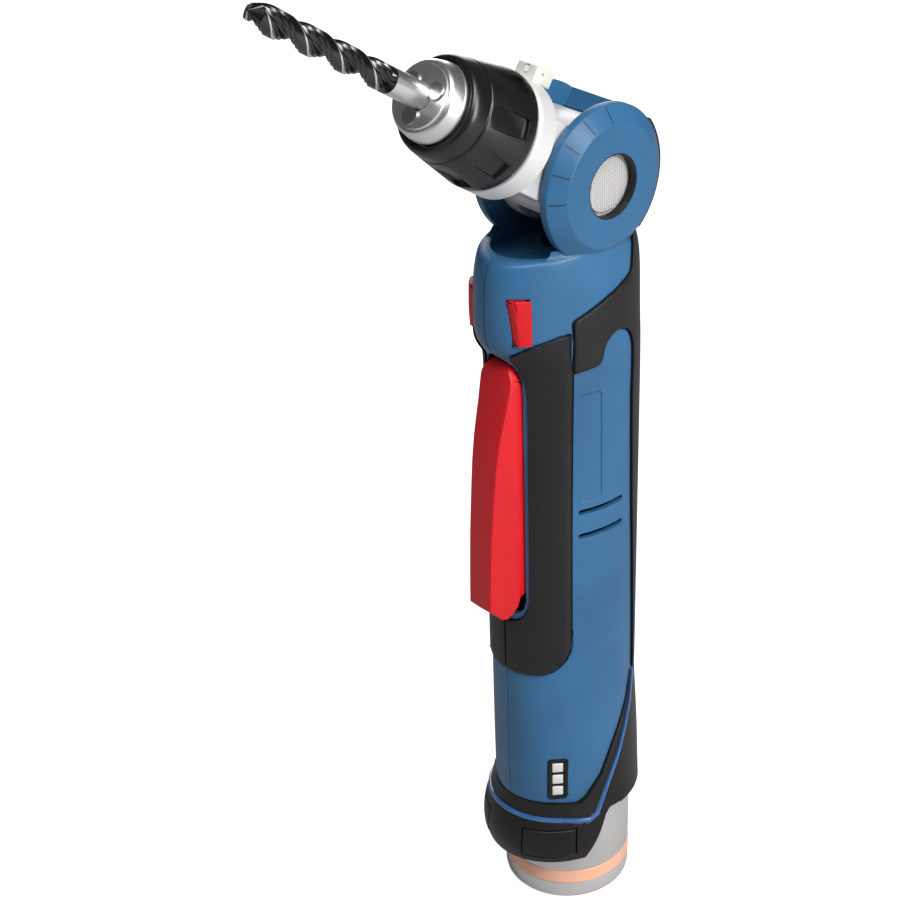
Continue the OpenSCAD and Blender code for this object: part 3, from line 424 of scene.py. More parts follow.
# %% Sections of the handle
HINGE = 273.0
BODY_ROWS = [(22, 22.0, 27.5, 22.6), (60, 22.3, 28.5, 23.1), (105, 22.3, 28.7, 23.15),
             (160, 22.3, 28.85, 23.2), (213, 21.75, 29.0, 23.9), (219.5, 21.2, 30.2, 24.0),
             (224, 20.75, 34.9, 24.1), (231, 20.4, 36.0, 24.2), (241, 19.95, 36.0, 24.3),
             (247.5, 19.4, 35.5, 23.8), (252, 19.0, 34.2, 22.0), (253.5, 18.9, 33.4, 20.7),
             (254, 18.85, 28.6, 20.3), (256, 18.7, 27.5, 18.6)]
WALL = 2.2
EAR_IN, DRUM_WELL_R, BORE_R = 12.8, 18.3, 10.2


def grown(rows, extra, longer=0.0):
    result = [(z, w + extra, f + extra, b + extra) for z, w, f, b in rows]
    if longer:
        result[0] = (result[0][0] - longer,) + result[0][1:]
        result[-1] = (result[-1][0] + longer,) + result[-1][1:]
    return result


def sector(r_in, r_out, start, end, count=28):
    """Points (y, z) of a ring sector about the hinge, angles from straight down towards the back."""
    angles = [math.radians(start + (end - start) * i / count) for i in range(count + 1)]
    outer = [(r_out * math.sin(a), HINGE - r_out * math.cos(a)) for a in angles]
    inner = [(r_in * math.sin(a), HINGE - r_in * math.cos(a)) for a in reversed(angles)]
    return outer + inner


EAR = [(0, EAR_IN), (24.2, EAR_IN), (24.5, 13.1), (24.5, 15.3), (24.2, 15.9), (19.6, 19.4), (18.9, 19.7),
       (0, 19.7)]
TO_RIGHT = Matrix.Translation((0, 0, HINGE)) @ Matrix.Rotation(math.pi / 2, 4, "Y")
TO_LEFT = Matrix.Translation((0, 0, HINGE)) @ Matrix.Rotation(-math.pi / 2, 4, "Y")

form = oval_column("body_form", BODY_ROWS)
for matrix in (TO_RIGHT, TO_LEFT):
    combine(form, place(turned("ear", EAR), matrix), "UNION")
combine(form, side_prism("back_wall", sector(DRUM_WELL_R, 24.5, 20, 141), -13.3, 13.3), "UNION")
print("form:", len(form.data.polygons), "faces")

# %% [markdown]
# ## Openings in the handle
# Then comes what a moulder would call the core side: the hollow inside, the well for the head's drum,
# the slot for the trigger, two vents, and shallow beds for the rubber so that it looks let in.

# %% Hollow, well and slots
void_rows = [r for r in grown(BODY_ROWS, -WALL) if r[0] < 240]
void_rows[0] = (10,) + void_rows[0][1:]
void_rows.append((239,) + void_rows[-1][1:])
combine(form, oval_column("void", void_rows, levels=1))
well = oval_column("well", grown(BODY_ROWS, -2.6, 6))
combine(form, combine(well, block((-EAR_IN, -40, 250), (EAR_IN, 4, 300)), "INTERSECT"))
combine(form, block((-EAR_IN, -40, 253.8), (EAR_IN, 4, 300)))
combine(form, rod(DRUM_WELL_R, -EAR_IN, EAR_IN, TO_RIGHT, 96))
combine(form, rod(13.05, 12.0, 15.6, TO_RIGHT, 96))
combine(form, rod(BORE_R, 12.0, 40, TO_RIGHT, 96))
combine(form, rod(7.05, 12.0, 40, TO_LEFT, 96))
combine(form, rod(BORE_R, 16.9, 40, TO_LEFT, 96))
combine(form, rod(8.02, 228, 260))
TRIGGER_SLOT = [(-7.6, 131), (-6.9, 127.6), (-5.2, 125.5), (-2.8, 124.9), (2.8, 124.9), (5.2, 125.5),
                (6.9, 127.6), (7.6, 131), (7.6, 211), (7.0, 214.8), (5.4, 218.2), (2.8, 220.6), (0, 221.4),
                (-2.8, 220.6), (-5.4, 218.2), (-7.0, 214.8), (-7.6, 211)]
BAR = [(-32.9, 242.5), (-31.7, 227.5), (-28.4, 227.5), (-28.4, 242.5)]
combine(form, front_prism("slot", TRIGGER_SLOT, -60, -16))
combine(form, side_prism("slot", wider(BAR, 0.3), -40, 40))
for z in (154.3, 163.3):
    vent = side_prism("vent", [(-14, z), (3.5, z), (3.5, z + 2), (-14, z + 2)], -40, 40, 0.9)
    combine(form, vent)

COLLAR_EDGE = [(-13.6, 22), (-11, 27.2), (-5.4, 38.1), (-3.5, 40.2), (6, 39.7), (60, 38)]
below = [(-60, 0), (-60, 22.1)] + [(y, z + 0.1) for y, z in COLLAR_EDGE] + [(60, 0)]
combine(form, side_prism("below", below, -60, 60))
print("opened form:", len(form.data.polygons), "faces")

# %% Beds for the rubber and the foot, and a recess in each side
FRONT_GRIP = [(9.2, 134), (9.4, 206), (9.0, 212.4), (7.6, 216.8), (6.3, 220.4), (6.6, 222.4),
              (12.4, 226.4), (17.9, 229.3), (18.1, 112), (17.2, 107.2), (15.2, 103.6), (12.2, 101.8),
              (6, 101.5), (0.25, 101.6), (0.25, 121.6), (4.2, 122.3), (6.8, 124.2), (8.4, 127.4),
              (9.0, 130.6)]
REAR_GRIP = [(-15.6, 232.9), (-7.5, 235.8), (0.5, 238.6), (9.6, 241.6), (12.2, 250), (12.2, 262),
             (60, 262), (60, 90.3), (12.7, 90.3), (12, 110), (10.7, 135), (9.2, 160), (8.6, 183),
             (8.4, 200), (9.1, 211), (9.3, 216.5), (8.6, 220.6), (6.4, 223.9), (3.1, 225.5), (-0.3, 225.4),
             (-3.2, 223.8), (-5.0, 221), (-5.7, 217.9), (-7.4, 216.1), (-15.6, 215.3)]
PANEL_EDGE = [(-40, 47.4), (-21.1, 46.5), (-14.2, 45.6), (-11.7, 47.2), (-5.6, 55), (-0.5, 66), (7.2, 80),
              (10.6, 90)]
STRIPE_TOP = [(-40, 42.6), (-20.3, 41.3), (-11.9, 39.6), (-9.2, 40.9), (-5.0, 48.6), (1.9, 61.4),
              (8.9, 78), (12.0, 90)]
STRIPE_LOW = [(-40, 41.0), (-20.3, 39.7), (-12.2, 37.8), (-8.4, 39.4), (-3.6, 47.8), (3.4, 60.8),
              (10.4, 78), (13.4, 90)]


def mirrored(outline):
    return [(-x, z) for x, z in outline]


def skin(name, rows, inside, outside):
    """A layer over the handle, from a depth inside its surface to a height outside it."""
    layer = oval_column(name, grown(rows, outside))
    return combine(layer, oval_column("core", grown(rows, inside, 3)))


GRIP_ROWS = BODY_ROWS[:-1] + [(262, 18.4, 25, 17.6)]
for outline in (FRONT_GRIP, mirrored(FRONT_GRIP)):
    bed = skin("bed", GRIP_ROWS, -0.7, 2)
    combine(bed, front_prism("edge", wider(outline, 0.35), -60, -5, 1.2), "INTERSECT")
    combine(form, bed)
bed = skin("bed", GRIP_ROWS, -0.7, 2)
combine(bed, side_prism("edge", wider(REAR_GRIP, 0.45), -60, 60, 1.2), "INTERSECT")
combine(form, bed)
bed = skin("bed", BODY_ROWS, -0.8, 2)
foot = PANEL_EDGE + [(40, 90), (40, 10), (-40, 10)]
combine(bed, side_prism("edge", foot, -60, 60), "INTERSECT")
combine(form, bed)
for half in (1, -1):
    bed = skin("bed", BODY_ROWS, -0.45, 2)
    recess = [(-13.7, 168), (-5.9, 168), (-5.9, 207), (-13.7, 207)]
    combine(bed, side_prism("edge", recess, 0, 60 * half, 1.5), "INTERSECT")
    combine(form, bed)
print("bedded form:", len(form.data.polygons), "faces")

# %% [markdown]
# ## Two half shells
# The body is moulded as a right and a left shell that meet in the middle plane. A hair of air and a
# small bevel along the joint make the dark parting line that runs down the front of the real thing.

# %% Cut the form into shells
GAUGE = (Matrix.Rotation(math.radians(-38), 4, "Z") @ Matrix.Translation((0, -6.35, 57))
         @ Matrix.Rotation(math.pi / 2, 4, "Y"))
FLIP = Matrix.Scale(-1, 4, (1, 0, 0))
RELEASE = (Matrix.Rotation(math.radians(-58), 4, "Z") @ Matrix.Translation((0, 0, 31))
           @ Matrix.Rotation(math.pi / 2, 4, "Y"))
SCREWS = [(-22, 101), (18.3, 110), (18.3, 164.9), (18.6, 208.9), (-21, 247), (20.4, 246)]


def screw_access(piece):
    for y, z in SCREWS:
        combine(piece, rod(2.8, 9, 60, Matrix.Translation((0, y, z)) @ Matrix.Rotation(-math.pi / 2, 4, "Y")))


shells = {}
for name, low, high, matrix in (("right_shell", 0.1, 60, RELEASE), ("left_shell", -60, -0.1, FLIP @ RELEASE)):
    half = twin(form, "visual_" + name)
    combine(half, block((low, -60, 0), (high, 60, 330)), "INTERSECT")
    peg_hole = place(block((-3.3, -3.8, 16), (3.3, 3.8, 40)), matrix)
    combine(half, peg_hole)
    shells[name] = half
bpy.data.objects.remove(form)
corners = [(-8.75, -3.45, 18), (8.75, -3.45, 18), (8.75, 3.45, 18), (-8.75, 3.45, 18)]
combine(shells["right_shell"], place(prism("hole", corners, (0, 0, 22), 1.3), GAUGE))
screw_access(shells["left_shell"])
for name, half in shells.items():
    edit(half)
    tidy_edit()
    soften(half, 0.3, 2, 40)
    settle(half, "body", "blue_plastic", blue_satin, name)
    apply_modifier(half, "WEIGHTED_NORMAL", keep_sharp=True)

# %% [markdown]
# ## Marks and the ring in the ear
# Five short marks on each ear show how far the head is tilted. On the real thing they are moulded in;
# here they are thin dark bars let into the cone, which keeps the bevels of the shell clean; their dark blue
# is painted shade for the moulded grooves. A black ring lines the hole that the round button sits in,
# painted shade for the shadowed gap round the button.

# %% Marks on the ears
def joined(pieces, name):
    start_clean()
    for piece in pieces:
        piece.select_set(True)
    bpy.context.view_layer.objects.active = pieces[0]
    bpy.ops.object.join()
    return named(name)


def flipped(piece, name):
    """A copy of a piece, mirrored to the other side."""
    copy = place(twin(piece, name), FLIP)
    edit(copy)
    tidy_edit()
    return copy


# The marks' dark blue is painted shade for moulded grooves; the bars barely stand out of the cone.
painted_groove_shade = finish("painted_groove_shade", (0.006, 0.02, 0.045), 0.5)
mark = block((-2.7, -0.2, -0.3), (2.7, 0.2, 0.03))
on_cone = Matrix.Translation((21.9, 0, 17.65)) @ Matrix.Rotation(math.radians(37.3), 4, "Y")
around = [Matrix.Rotation(math.radians(-22.5 * i - 90), 4, "Z") for i in range(5)]
bars = [place(twin(mark, "mark"), TO_RIGHT @ turn_by @ on_cone) for turn_by in around]
marks = joined(bars, "ear_marks_right")
bpy.data.objects.remove(mark)
other = flipped(marks, "ear_marks_left")
for piece in (marks, other):
    settle(piece, "body", "blue_plastic", painted_groove_shade)
# A black ring on the wall of the button's hole: painted shade for the shadowed gap round the button.
gap_shade_ring = turned("button_gap_shade_ring", [(9.9, 16.5), (10.18, 16.5), (10.18, 19.5), (9.9, 19.5), (9.9, 16.5)])
settle(gap_shade_ring, "body", "black_plastic", black_plastic, matrix=TO_RIGHT)

# %% [markdown]
# ## Rubber
# Soft rubber is moulded over the shells where the hand lies: two pieces beside the trigger, and one
# that runs down the back with a wing to each side under the head. A layer is cut from the handle's
# own form, so it follows every curve, and its edges are rounded well.

# %% Front grips
grip = skin("visual_right_grip", GRIP_ROWS, -0.62, 0.85)
combine(grip, front_prism("edge", FRONT_GRIP, -60, -5, 0.8), "INTERSECT")
combine(grip, side_prism("slot", wider(BAR, 0.3), -40, 40))
other = flipped(grip, "visual_left_grip")
screw_access(other)
for piece, name in ((grip, "right_grip"), (other, "left_grip")):
    soften(piece, 0.4, 3, 40)
    settle(piece, "body", "black_rubber", rubber, name)

# %% Rear grip
grip = skin("visual_rear_grip", GRIP_ROWS, -0.62, 0.88)
combine(grip, side_prism("edge", REAR_GRIP, -60, 60, 1.1), "INTERSECT")
combine(grip, block((-40, -60, 257), (40, 60, 300)))
patch = side_prism("rear_grip_patch", sector(24.53, 25.3, 40, 126), -15.4, 15.4)
combine(patch, oval_column("inside", grown(BODY_ROWS, 0.02)))
for piece in (grip, patch):
    for matrix in (TO_RIGHT, TO_LEFT):
        ear = turned("ear", [(0, 12.7), (24.55, 12.7), (24.55, 15.6), (18, 20.6), (0, 20.6)])
        combine(piece, place(ear, matrix))
combine(grip, side_prism("wall", sector(17, 24.52, 20, 141), -13, 13))
screw_access(grip)
soften(grip, 0.3, 3, 50)
settle(patch, "body", "black_rubber", rubber)
settle(grip, "body", "black_rubber", rubber, "rear_grip")

# %% [markdown]
# ## Collar, stripe and dark band
# At the foot the handle flares into a collar that holds the battery. A dark band and a thin glossy
# stripe run round above it. All three are cut from one flared column, so they stay in line.

# %% The flared foot
def body_at(z):
    for low, high in zip(BODY_ROWS, BODY_ROWS[1:]):
        if z <= high[0]:
            t = (z - low[0]) / (high[0] - low[0])
            return [a + (b - a) * t for a, b in zip(low[1:], high[1:])]


FLARE = [(18, 2.6, 2.6, 2.0), (21, 3.2, 3.4, 2.2), (24, 3.9, 4.6, 2.5), (28, 4.3, 5.3, 2.8),
         (32, 4.3, 5.2, 3.0), (36, 3.7, 4.2, 3.2), (40, 3.0, 2.8, 3.5), (44, 2.3, 1.3, 3.8),
         (48, 1.7, 0.2, 4.0), (56, 1.2, 0.0, 3.9), (64, 1.0, 0.0, 3.3), (72, 0.9, 0.0, 2.6),
         (80, 0.7, 0.0, 1.8), (92, 0.4, 0.0, 0.8)]


def flared(extra):
    return [(z,) + tuple(a + g + extra for a, g in zip(body_at(z), grow)) for z, *grow in FLARE]


def foot_layer(name, extra, outline, rounding=0.0):
    layer = oval_column(name, flared(extra))
    combine(layer, oval_column("core", grown(BODY_ROWS, -0.72, 3)))
    return combine(layer, side_prism("edge", outline, -60, 60, rounding), "INTERSECT")


collar_outline = STRIPE_LOW + [(40, 90), (40, 38.6)] + COLLAR_EDGE[-2::-1] + [(-40, 22)]
collar = foot_layer("visual_base_collar", 0.0, collar_outline, 0.6)
for matrix in (RELEASE, FLIP @ RELEASE):
    combine(collar, place(block((-5.8, -9.45, 16), (5.8, 9.45, 60)), matrix))
soften(collar, 0.55, 3, 40)
settle(collar, "body", "black_plastic", collar_black, "base_collar")

stripe = foot_layer("foot_stripe", 0.3, wider(STRIPE_TOP + STRIPE_LOW[::-1], -0.14), 0.6)
soften(stripe, 0.25, 2, 40)
settle(stripe, "body", "blue_plastic", blue_gloss)

band = foot_layer("foot_band", -0.35, wider(PANEL_EDGE + STRIPE_TOP[::-1], -0.12))
settle(band, "body", "black_plastic", band_grey)

# %% Release buttons
button = oval_column("visual_release_right", flared(0.25))
combine(button, oval_column("core", flared(-1.3)[:-1] + [(95,) + flared(-1.3)[-1][1:]]))
combine(button, place(block((-5.5, -9.14, 16), (5.5, 9.14, 60)), RELEASE), "INTERSECT")
soften(button, 0.5, 3, 40)
button = joined([button, place(block((-3, -3.5, 22.9), (3, 3.5, 29.5)), RELEASE)], "visual_release_right")
other = flipped(button, "visual_release_left")
settle(button, "release_right", "black_plastic", collar_black, "release_right")
settle(other, "release_left", "black_plastic", collar_black, "release_left")

# %% [markdown]
# ## Trigger and direction switch
# The trigger is a long paddle that stands out most near its lower end. Its front is flat, with a facet
# to each side that widens downwards: a side outline, a front outline with round corners and a wedge
# seen from above give the shape where they cross.

# %% Paddle
PADDLE = [(-29.0, 218), (-30.7, 216), (-32.0, 210), (-33.2, 204), (-34.8, 197.5), (-36.0, 192),
          (-37.2, 184), (-38.0, 175.5), (-39.3, 159), (-40.0, 143), (-40.3, 131.7), (-36.0, 127),
          (-33.9, 126.4), (-31.9, 127.6), (-29.9, 129.8), (-28.5, 133.4), (-22, 134.4), (-22, 205),
          (-18.6, 208), (-18.6, 215), (-22, 217.5), (-27.2, 218.5)]
paddle = side_prism("visual_trigger", PADDLE, -7.2, 7.2)
wedge = [(7.2, 0), (-7.2, 0), (-7.2, -29.4), (-5.0, -40.3), (5.0, -40.3), (7.2, -29.4)]
combine(paddle, prism("wedge", [(x, y, 60) for x, y in wedge], (0, 0, 200)), "INTERSECT")
front = [(-7.2, 100), (7.2, 100), (7.2, 210.4), (6.6, 213.8), (5.1, 216.6), (2.7, 218.8), (0, 219.4),
         (-2.7, 218.8), (-5.1, 216.6), (-6.6, 213.8), (-7.2, 210.4)]
combine(paddle, front_prism("front", front, -60, 0), "INTERSECT")
combine(paddle, block((-3.5, -22.5, 134.9), (3.5, -14.6, 139.9)), "UNION")
pin_hole = Matrix.Translation((0, -22.2, 212)) @ Matrix.Rotation(math.pi / 2, 4, "Y")
combine(paddle, rod(1.55, -20, 20, pin_hole, 32))
soften(paddle, 0.4, 3, 30)
settle(paddle, "trigger", "red_plastic", red_plastic, "trigger", angle=25)

# %% Direction switch
bar = oval_column("visual_direction_switch", grown(BODY_ROWS, 1.25))
combine(bar, side_prism("edge", BAR, -40, 40), "INTERSECT")
soften(bar, 0.6, 3, 40)
settle(bar, "direction", "red_plastic", red_plastic, "direction_switch")

# %% [markdown]
# ## Head
# The head is a die casting: a drum between the ears, a neck, and a flange behind the chuck. It is
# built in its own frame, with the chuck's axis upright, and then tilted into place.

# %% Casting
TILT = 56.25
HEAD = Matrix.Translation((0, 0, HINGE)) @ Matrix.Rotation(math.radians(TILT), 4, "X")
SPINDLE = HEAD @ Matrix.Rotation(math.radians(TILT), 4, "Z")
SIDEWAYS = Matrix.Rotation(math.pi / 2, 4, "Y")

casting = turned("visual_gear_housing", [(0, 22), (12.6, 25.5), (13.2, 26.6), (14.6, 28.6), (17.2, 29.9),
                                         (18.1, 30.2), (18.5, 30.8), (18.5, 37.2), (18.1, 37.8), (17.4, 38),
                                         (0, 38)])
combine(casting, block((-12.2, -13, 8), (12.2, 10.6, 36)), "UNION")
combine(casting, rod(17.5, -12.4, 8.88, SIDEWAYS, 96), "UNION")
combine(casting, rod(7, -16.4, -11, SIDEWAYS), "UNION")
combine(casting, rod(15.5, -10.9, 40, SIDEWAYS, 96))
combine(casting, rod(8.05, 2, 60))
combine(casting, rod(3.3, -40, 0, SIDEWAYS, 32))
gap = [(y, z - HINGE) for y, z in sector(13.5, 40, -115, 25)]
combine(casting, side_prism("gap", gap, -7, 7))
combine(casting, block((-4.2, 17.9, 26), (4.2, 40, 34.02)))
soften(casting, 0.4, 3, 35)
settle(casting, "head", "housing_alloy", cast_alloy, "gear_housing", matrix=HEAD)

# %% Lamp
lamp = block((-4.18, 17.92, 26.02), (4.18, 22.7, 34))
lamp.name = lamp.data.name = "visual_led_lamp"
soften(lamp, 0.5, 3)
combine(lamp, rod(1.45, 33.4, 45, Matrix.Translation((0, 20.9, 0)), 32))
combine(lamp, rod(1.02, 31.2, 45, Matrix.Translation((0, 20.9, 0)), 32))
combine(lamp, rod(0.8, 3.6, 9, Matrix.Translation((0, 20.6, 31)) @ SIDEWAYS, 32))
settle(lamp, "head", "housing_alloy", lamp_cream, "led_lamp", matrix=HEAD)

# %% [markdown]
# ## Tilt-lock button
# The round button in the right ear frees the head. Its face carries a fine grid of dots, which are so
# small that the shader draws them: each is a dimple in the bump, darkened inside with painted shade.

# %% Button
dots = finish("button_dots", (0.74, 0.73, 0.71), 0.34, metal=0.5, depth=0.0, drift=0.03)
tree = dots.node_tree
shader = tree.nodes["Principled BSDF"]
coords = tree.nodes.new("ShaderNodeTexCoord")
turn_grid = tree.nodes.new("ShaderNodeMapping")
turn_grid.inputs["Location"].default_value = (0, 0, -HINGE / 1000)
grid = tree.nodes.new("ShaderNodeVectorMath")
grid.operation = "SCALE"
grid.inputs["Scale"].default_value = 1250
cell = tree.nodes.new("ShaderNodeVectorMath")
cell.operation = "FRACTION"
centre = tree.nodes.new("ShaderNodeVectorMath")
centre.operation = "SUBTRACT"
centre.inputs[1].default_value = (0.5, 0.5, 0.5)
flat = tree.nodes.new("ShaderNodeVectorMath")
flat.operation = "MULTIPLY"
flat.inputs[1].default_value = (0, 1, 1)
away = tree.nodes.new("ShaderNodeVectorMath")
away.operation = "LENGTH"
dot = tree.nodes.new("ShaderNodeMapRange")
dot.inputs["From Min"].default_value = 0.22
dot.inputs["From Max"].default_value = 0.34
for a, b in zip((coords.outputs["Object"], turn_grid.outputs[0], grid.outputs[0], cell.outputs[0],
                 centre.outputs[0], flat.outputs[0], away.outputs["Value"]),
                (turn_grid.inputs[0], grid.inputs[0], cell.inputs[0], centre.inputs[0], flat.inputs[0],
                 away.inputs[0], dot.inputs["Value"])):
    tree.links.new(a, b)
bump = tree.nodes["Bump"]
bump.inputs["Strength"].default_value = 0.5
tree.links.new(dot.outputs["Result"], bump.inputs["Height"])
# Darker colour inside each dimple: painted shade in the pits of the dot grid.
shade = tree.nodes.new("ShaderNodeMix")
shade.data_type = "RGBA"
shade.inputs["A"].default_value = (0.36, 0.33, 0.32, 1)
tree.links.new(dot.outputs["Result"], shade.inputs["Factor"])
tree.links.new(tree.nodes["Color Ramp"].outputs["Color"], shade.inputs["B"])
tree.links.new(shade.outputs["Result"], shader.inputs["Base Color"])

BUTTON = [(0, 12.5), (10.9, 12.5), (10.9, 15.4), (10.15, 16.2), (8.86, 16.2), (8.86, 16.75), (8.55, 17.02),
          (7.9, 17.06), (0, 17.06)]
button = turned("visual_lock_button", BUTTON)
settle(button, "lock", "button_alloy", dots, "lock_button", matrix=HEAD @ SIDEWAYS)

cap = turned("visual_hinge_cap", [(0, 17.6), (10.1, 17.6), (10.1, 18.9), (9.8, 19.15), (0, 19.2)])
settle(cap, "body", "blue_plastic", blue_satin, "hinge_cap", matrix=TO_LEFT)

# %% [markdown]
# ## Chuck
# A keyless chuck: a black sleeve to turn by hand, a bright steel nose with a stepped face, and three
# jaws. The sleeve is turned as a cone. Eight recesses are milled for the fingers, at a flatter slope
# than the cone's, so each one runs out towards the front.

# %% Sleeve
SLEEVE = [(17.6, 38.8), (18.2, 39.0), (18.5, 39.6), (18.5, 41.6), (18.36, 42.6), (15.9, 57.0),
          (15.55, 57.15), (15.55, 57.5), (15.75, 57.65), (15.12, 61.2), (14.8, 62.3), (14.2, 63.1),
          (13.6, 63.4), (12.9, 63.4), (12.7, 63.2), (12.7, 61.2), (14.2, 61.2), (14.2, 57.1), (16, 38.8),
          (17.6, 38.8)]
sleeve = turned("visual_chuck_sleeve", SLEEVE, 128)
for i in range(8):
    around = Matrix.Rotation(math.pi / 4 * i, 4, "Z")
    lean = Matrix.Translation((16.7, 0, 42.6)) @ Matrix.Rotation(math.radians(-3), 4, "Y")
    combine(sleeve, place(block((0, -3.3, 0), (9, 3.3, 40)), around @ lean))
soften(sleeve, 0.22, 2, 30)
settle(sleeve, "sleeve", "sleeve_plastic", sleeve_black, "chuck_sleeve", matrix=SPINDLE)

# %% Nose
NOSE = [(4.05, 46), (13.4, 46), (13.4, 56.6), (12.4, 56.6), (12.4, 60.9), (12.2, 60.9), (12.2, 64.0),
        (11.8, 64.1), (11.8, 64.5), (12.15, 64.7), (12.0, 65.3), (11.36, 68.3), (11.1, 68.75),
        (10.5, 69.2), (9.75, 69.2), (9.5, 69.8), (4.35, 69.8), (4.05, 69.5), (4.05, 46)]
nose = turned("visual_chuck_body", NOSE, 128)
for i in range(3):
    around = Matrix.Rotation(math.radians(120 * i + 90), 4, "Z")
    lean = Matrix.Translation((4.04 + 0.75 * 2.65, 0, 69.8)) @ Matrix.Rotation(math.radians(-18), 4, "Y")
    combine(nose, rod(2.7, -30, 20, around @ lean, 48))
settle(nose, "spindle", "bright_steel", nose_steel, "chuck_body", matrix=SPINDLE)

# %% [markdown]
# ## Drill bit
# A twist drill starts as a round bar. Two flutes are milled along it while it turns. Here the end face
# is drawn in on two sides, and then pushed out step by step, with a little turn at every step.

# %% Twist
bit_length, steps, pitch, bit_r = 52.5, 70, 27.0, 4.0
bit_back, shank_end, flute_start = 50, 83.5, 85.0
start_clean()
bpy.ops.mesh.primitive_circle_add(vertices=40, radius=bit_r, fill_type="NGON")
bit = named("visual_drill_bit")
edit(bit)
bpy.ops.transform.translate(value=(0, 0, bit_back))
bpy.ops.mesh.extrude_region_move(TRANSFORM_OT_translate={"value": (0, 0, shank_end - bit_back)})
pick(bit, "FACE", at_height(shank_end))
bpy.ops.mesh.extrude_region_move(TRANSFORM_OT_translate={"value": (0, 0, flute_start - shank_end)})
z = flute_start
for low, depth in ((0.55, 0.86), (0.75, 0.80), (0.9, 0.74), (0.97, 0.82)):
    pick(bit, "VERT", lambda v: abs(v.co.z - z) < 1e-3 and abs(v.co.y) / v.co.xy.length > low)
    bpy.ops.transform.resize(value=(depth, depth, 1), center_override=(0, 0, z))
point = bit_r / math.tan(math.radians(59))
rise_step = (bit_length - point) / steps
turn_step = 2 * math.pi * rise_step / pitch
for i in range(steps):
    pick(bit, "FACE", at_height(z))
    bpy.ops.mesh.extrude_region_move(TRANSFORM_OT_translate={"value": (0, 0, rise_step)})
    z += rise_step
    bpy.ops.transform.rotate(value=-turn_step, orient_axis="Z", center_override=(0, 0, z))
pick(bit, "FACE", at_height(z))
bpy.ops.mesh.extrude_region_move(TRANSFORM_OT_translate={"value": (0, 0, point * 0.95)})
bpy.ops.transform.resize(value=(0.05, 0.05, 1), center_override=(0, 0, z + point * 0.95))
tidy_edit()
settle(bit, "bit", "bright_steel", [nose_steel, flute_dark], "drill_bit", matrix=SPINDLE, angle=30)
tip = SPINDLE.inverted()
for face in bit.data.polygons:
    middle = tip @ (face.center * 1000)
    twist = math.atan2(middle.y, middle.x) - 2 * math.pi * (middle.z - flute_start) / pitch
    along = math.degrees(twist) % 180
    face.material_index = int(middle.z > 84 and not 20 < along < 34)
print("flute faces:", sum(f.material_index for f in bit.data.polygons))

# %% [markdown]
# ## Battery
# The foot of the battery is a round tub in satin grey with a coloured ring. It was turned here, and
# its top is trimmed to the collar's edge. The stem with the cells goes up into the handle.

# %% Tub and ring
TUB = [(0, 0), (20.4, 0), (21.5, 0.3), (22.1, 1.0), (22.35, 2.0), (22.35, 7.2), (21.55, 7.2),
       (21.55, 12.6), (22.35, 12.6), (22.35, 42), (0, 42)]
tub = turned("visual_battery_base", TUB, 128)
over = [(-60, 21.4), (-13.6, 21.4), (-11, 26.5), (-5.4, 37.4), (-3.5, 39.5), (6, 39.0), (60, 37.3),
        (60, 90), (-60, 90)]
combine(tub, side_prism("over", over, -60, 60))
for i in range(3):
    lobe = Matrix.Translation((0, -1.5, 0)) @ Matrix.Rotation(math.radians(120 * i - 90), 4, "Z")
    combine(tub, rod(10.2, 21.4, 60, lobe @ Matrix.Translation((10.736, 0, 0)), 96))
    combine(tub, place(block((-14.95, -9.3, 21.4), (0, 9.3, 60)), lobe))
soften(tub, 0.3, 2, 40)
settle(tub, "battery", "battery_grey", battery_grey, "battery_base")
hoop = turned("visual_battery_band", [(21.57, 7.25), (22.3, 7.25), (22.48, 7.5), (22.48, 12.3), (22.3, 12.55),
                                      (21.57, 12.55), (21.57, 7.25)], 128)
settle(hoop, "battery", "orange_band", band_orange, "battery_band")

# %% [markdown]
# ## Charge gauge
# A narrow window in the right shell shows three lights. The window is dark smoked plastic, and the
# lights are small milky blocks let into it.

# %% Window and lights
window = block((-8.6, -3.3, 23.53), (8.6, 3.3, 24.9))
window.name = window.data.name = "visual_gauge_window"
edit(window)
pick(window, "EDGE", lambda e: abs(e.verts[0].co.z - e.verts[1].co.z) > 1)
bpy.ops.mesh.bevel(offset=1.2, segments=5)
pick(window, "FACE", lambda f: f.normal.z > 0.9)
bpy.ops.mesh.inset(thickness=0.7)
bpy.ops.mesh.extrude_region_move(TRANSFORM_OT_translate={"value": (0, 0, -0.5)})
tidy_edit()
soften(window, 0.15, 2)
settle(window, "body", "clear_window", black_plastic, "gauge_window", matrix=GAUGE)
milky = finish("milky_light", (0.62, 0.61, 0.58), 0.3, depth=0.0, coat=0.3)
light = block((-1.9, -1.9, 24.1), (1.9, 1.9, 24.75))
soften(light, 0.35, 3)
for i in (-1, 0, 1):
    copy = place(twin(light, "gauge_light_%d" % (i + 2)), Matrix.Translation((5 * i, 0, 0)))
    settle(copy, "body", "clear_window", milky, matrix=GAUGE)
bpy.data.objects.remove(light)

# %% [markdown]
# ## What keeps its CAD shape
# Motor, gears, bearings, screws and terminals only show in part or when something is moved, so they
# keep their CAD shape. Each gets a finish by the slot that the record gives it.

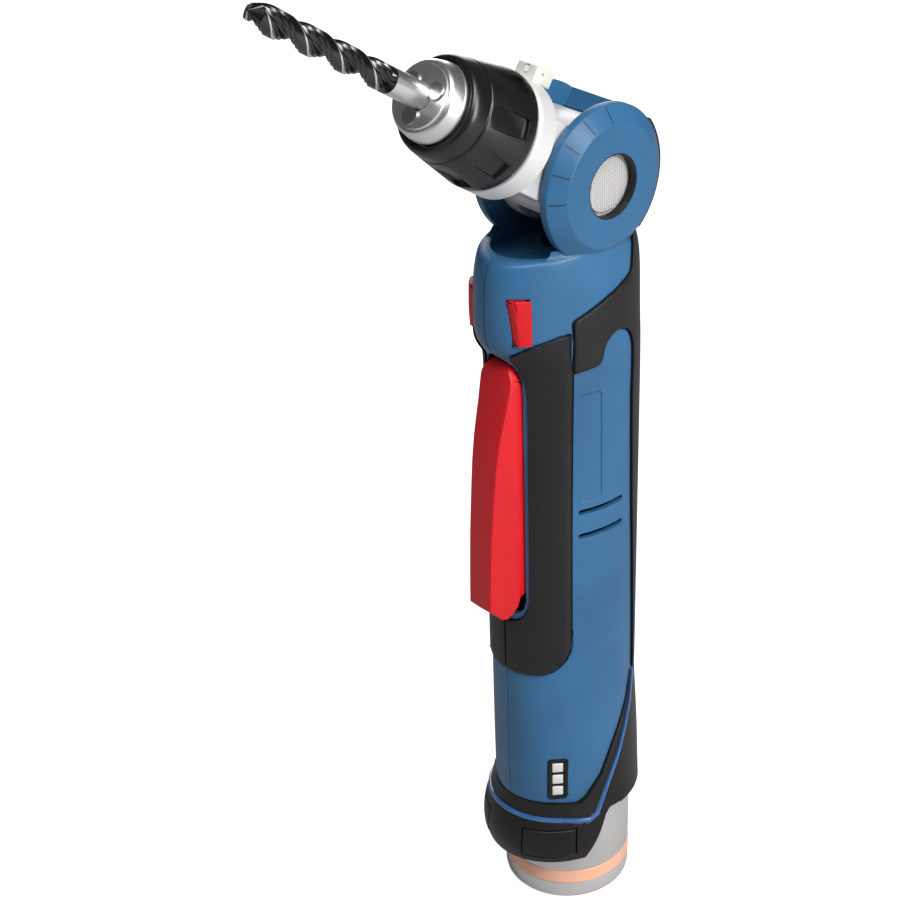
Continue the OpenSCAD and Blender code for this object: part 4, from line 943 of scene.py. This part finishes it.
# %% Finishes for the rest
by_slot = {"machine_steel": machine_steel, "bright_steel": nose_steel, "black_plastic": black_plastic,
           "housing_alloy": cast_alloy, "blue_plastic": blue_satin, "black_rubber": rubber,
           "magnet": finish("magnet", (0.05, 0.05, 0.055), 0.5),
           "iron_core": finish("iron_core", (0.2, 0.11, 0.06), 0.45),
           "bronze": finish("bronze", (0.5, 0.3, 0.12), 0.35, metal=1.0),
           "board_green": finish("board_green", (0.02, 0.12, 0.04), 0.4),
           "cell_jacket": finish("cell_jacket", (0.05, 0.18, 0.12), 0.35)}
glass = finish("lens_clear", (0.85, 0.87, 0.86), 0.08, depth=0.0, coat=0.6)
by_slot["clear_window"] = glass
shown = 0
for part in frame["record"]["subparts"]:
    node = nodes[part["node"]]
    if node.hide_render:
        continue
    node.data.materials.clear()
    node.data.materials.append(by_slot[part["material_slot"]])
    shown += 1
print("CAD pieces that show:", shown)

# %% [markdown]
# ## Floor
# A pale sheet of studio paper, so wide that its far edge meets the white of the room. To the camera it
# glows a little, as overlit paper does; as a source of bounced light it stays modest.

# %% Floor
start_clean()
bpy.ops.mesh.primitive_plane_add(size=60, location=(0, 0, -0.0004))
floor = named("floor")
edit(floor)
bpy.ops.mesh.select_all(action="SELECT")
bpy.ops.mesh.subdivide(number_cuts=9)
bpy.ops.object.mode_set(mode="OBJECT")
place(floor, Matrix())
paper = finish("paper", (0.5, 0.5, 0.5), 0.9, scale=300, depth=0.0, drift=0.01, shine=0.0)
lit = paper.node_tree.nodes["Principled BSDF"]
lit.inputs["Emission Color"].default_value = (1, 1, 1, 1)
seen = paper.node_tree.nodes.new("ShaderNodeLightPath")
glow = paper.node_tree.nodes.new("ShaderNodeMath")
glow.operation = "MULTIPLY"
glow.inputs[1].default_value = 0.93
paper.node_tree.links.new(seen.outputs["Is Camera Ray"], glow.inputs[0])
paper.node_tree.links.new(glow.outputs[0], lit.inputs["Emission Strength"])
floor.data.materials.append(paper)
floor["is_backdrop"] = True

# %% Sizes and the end
low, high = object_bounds()
print("visual box in mm:", [round(1000 * (b - a), 1) for a, b in zip(low, high)])
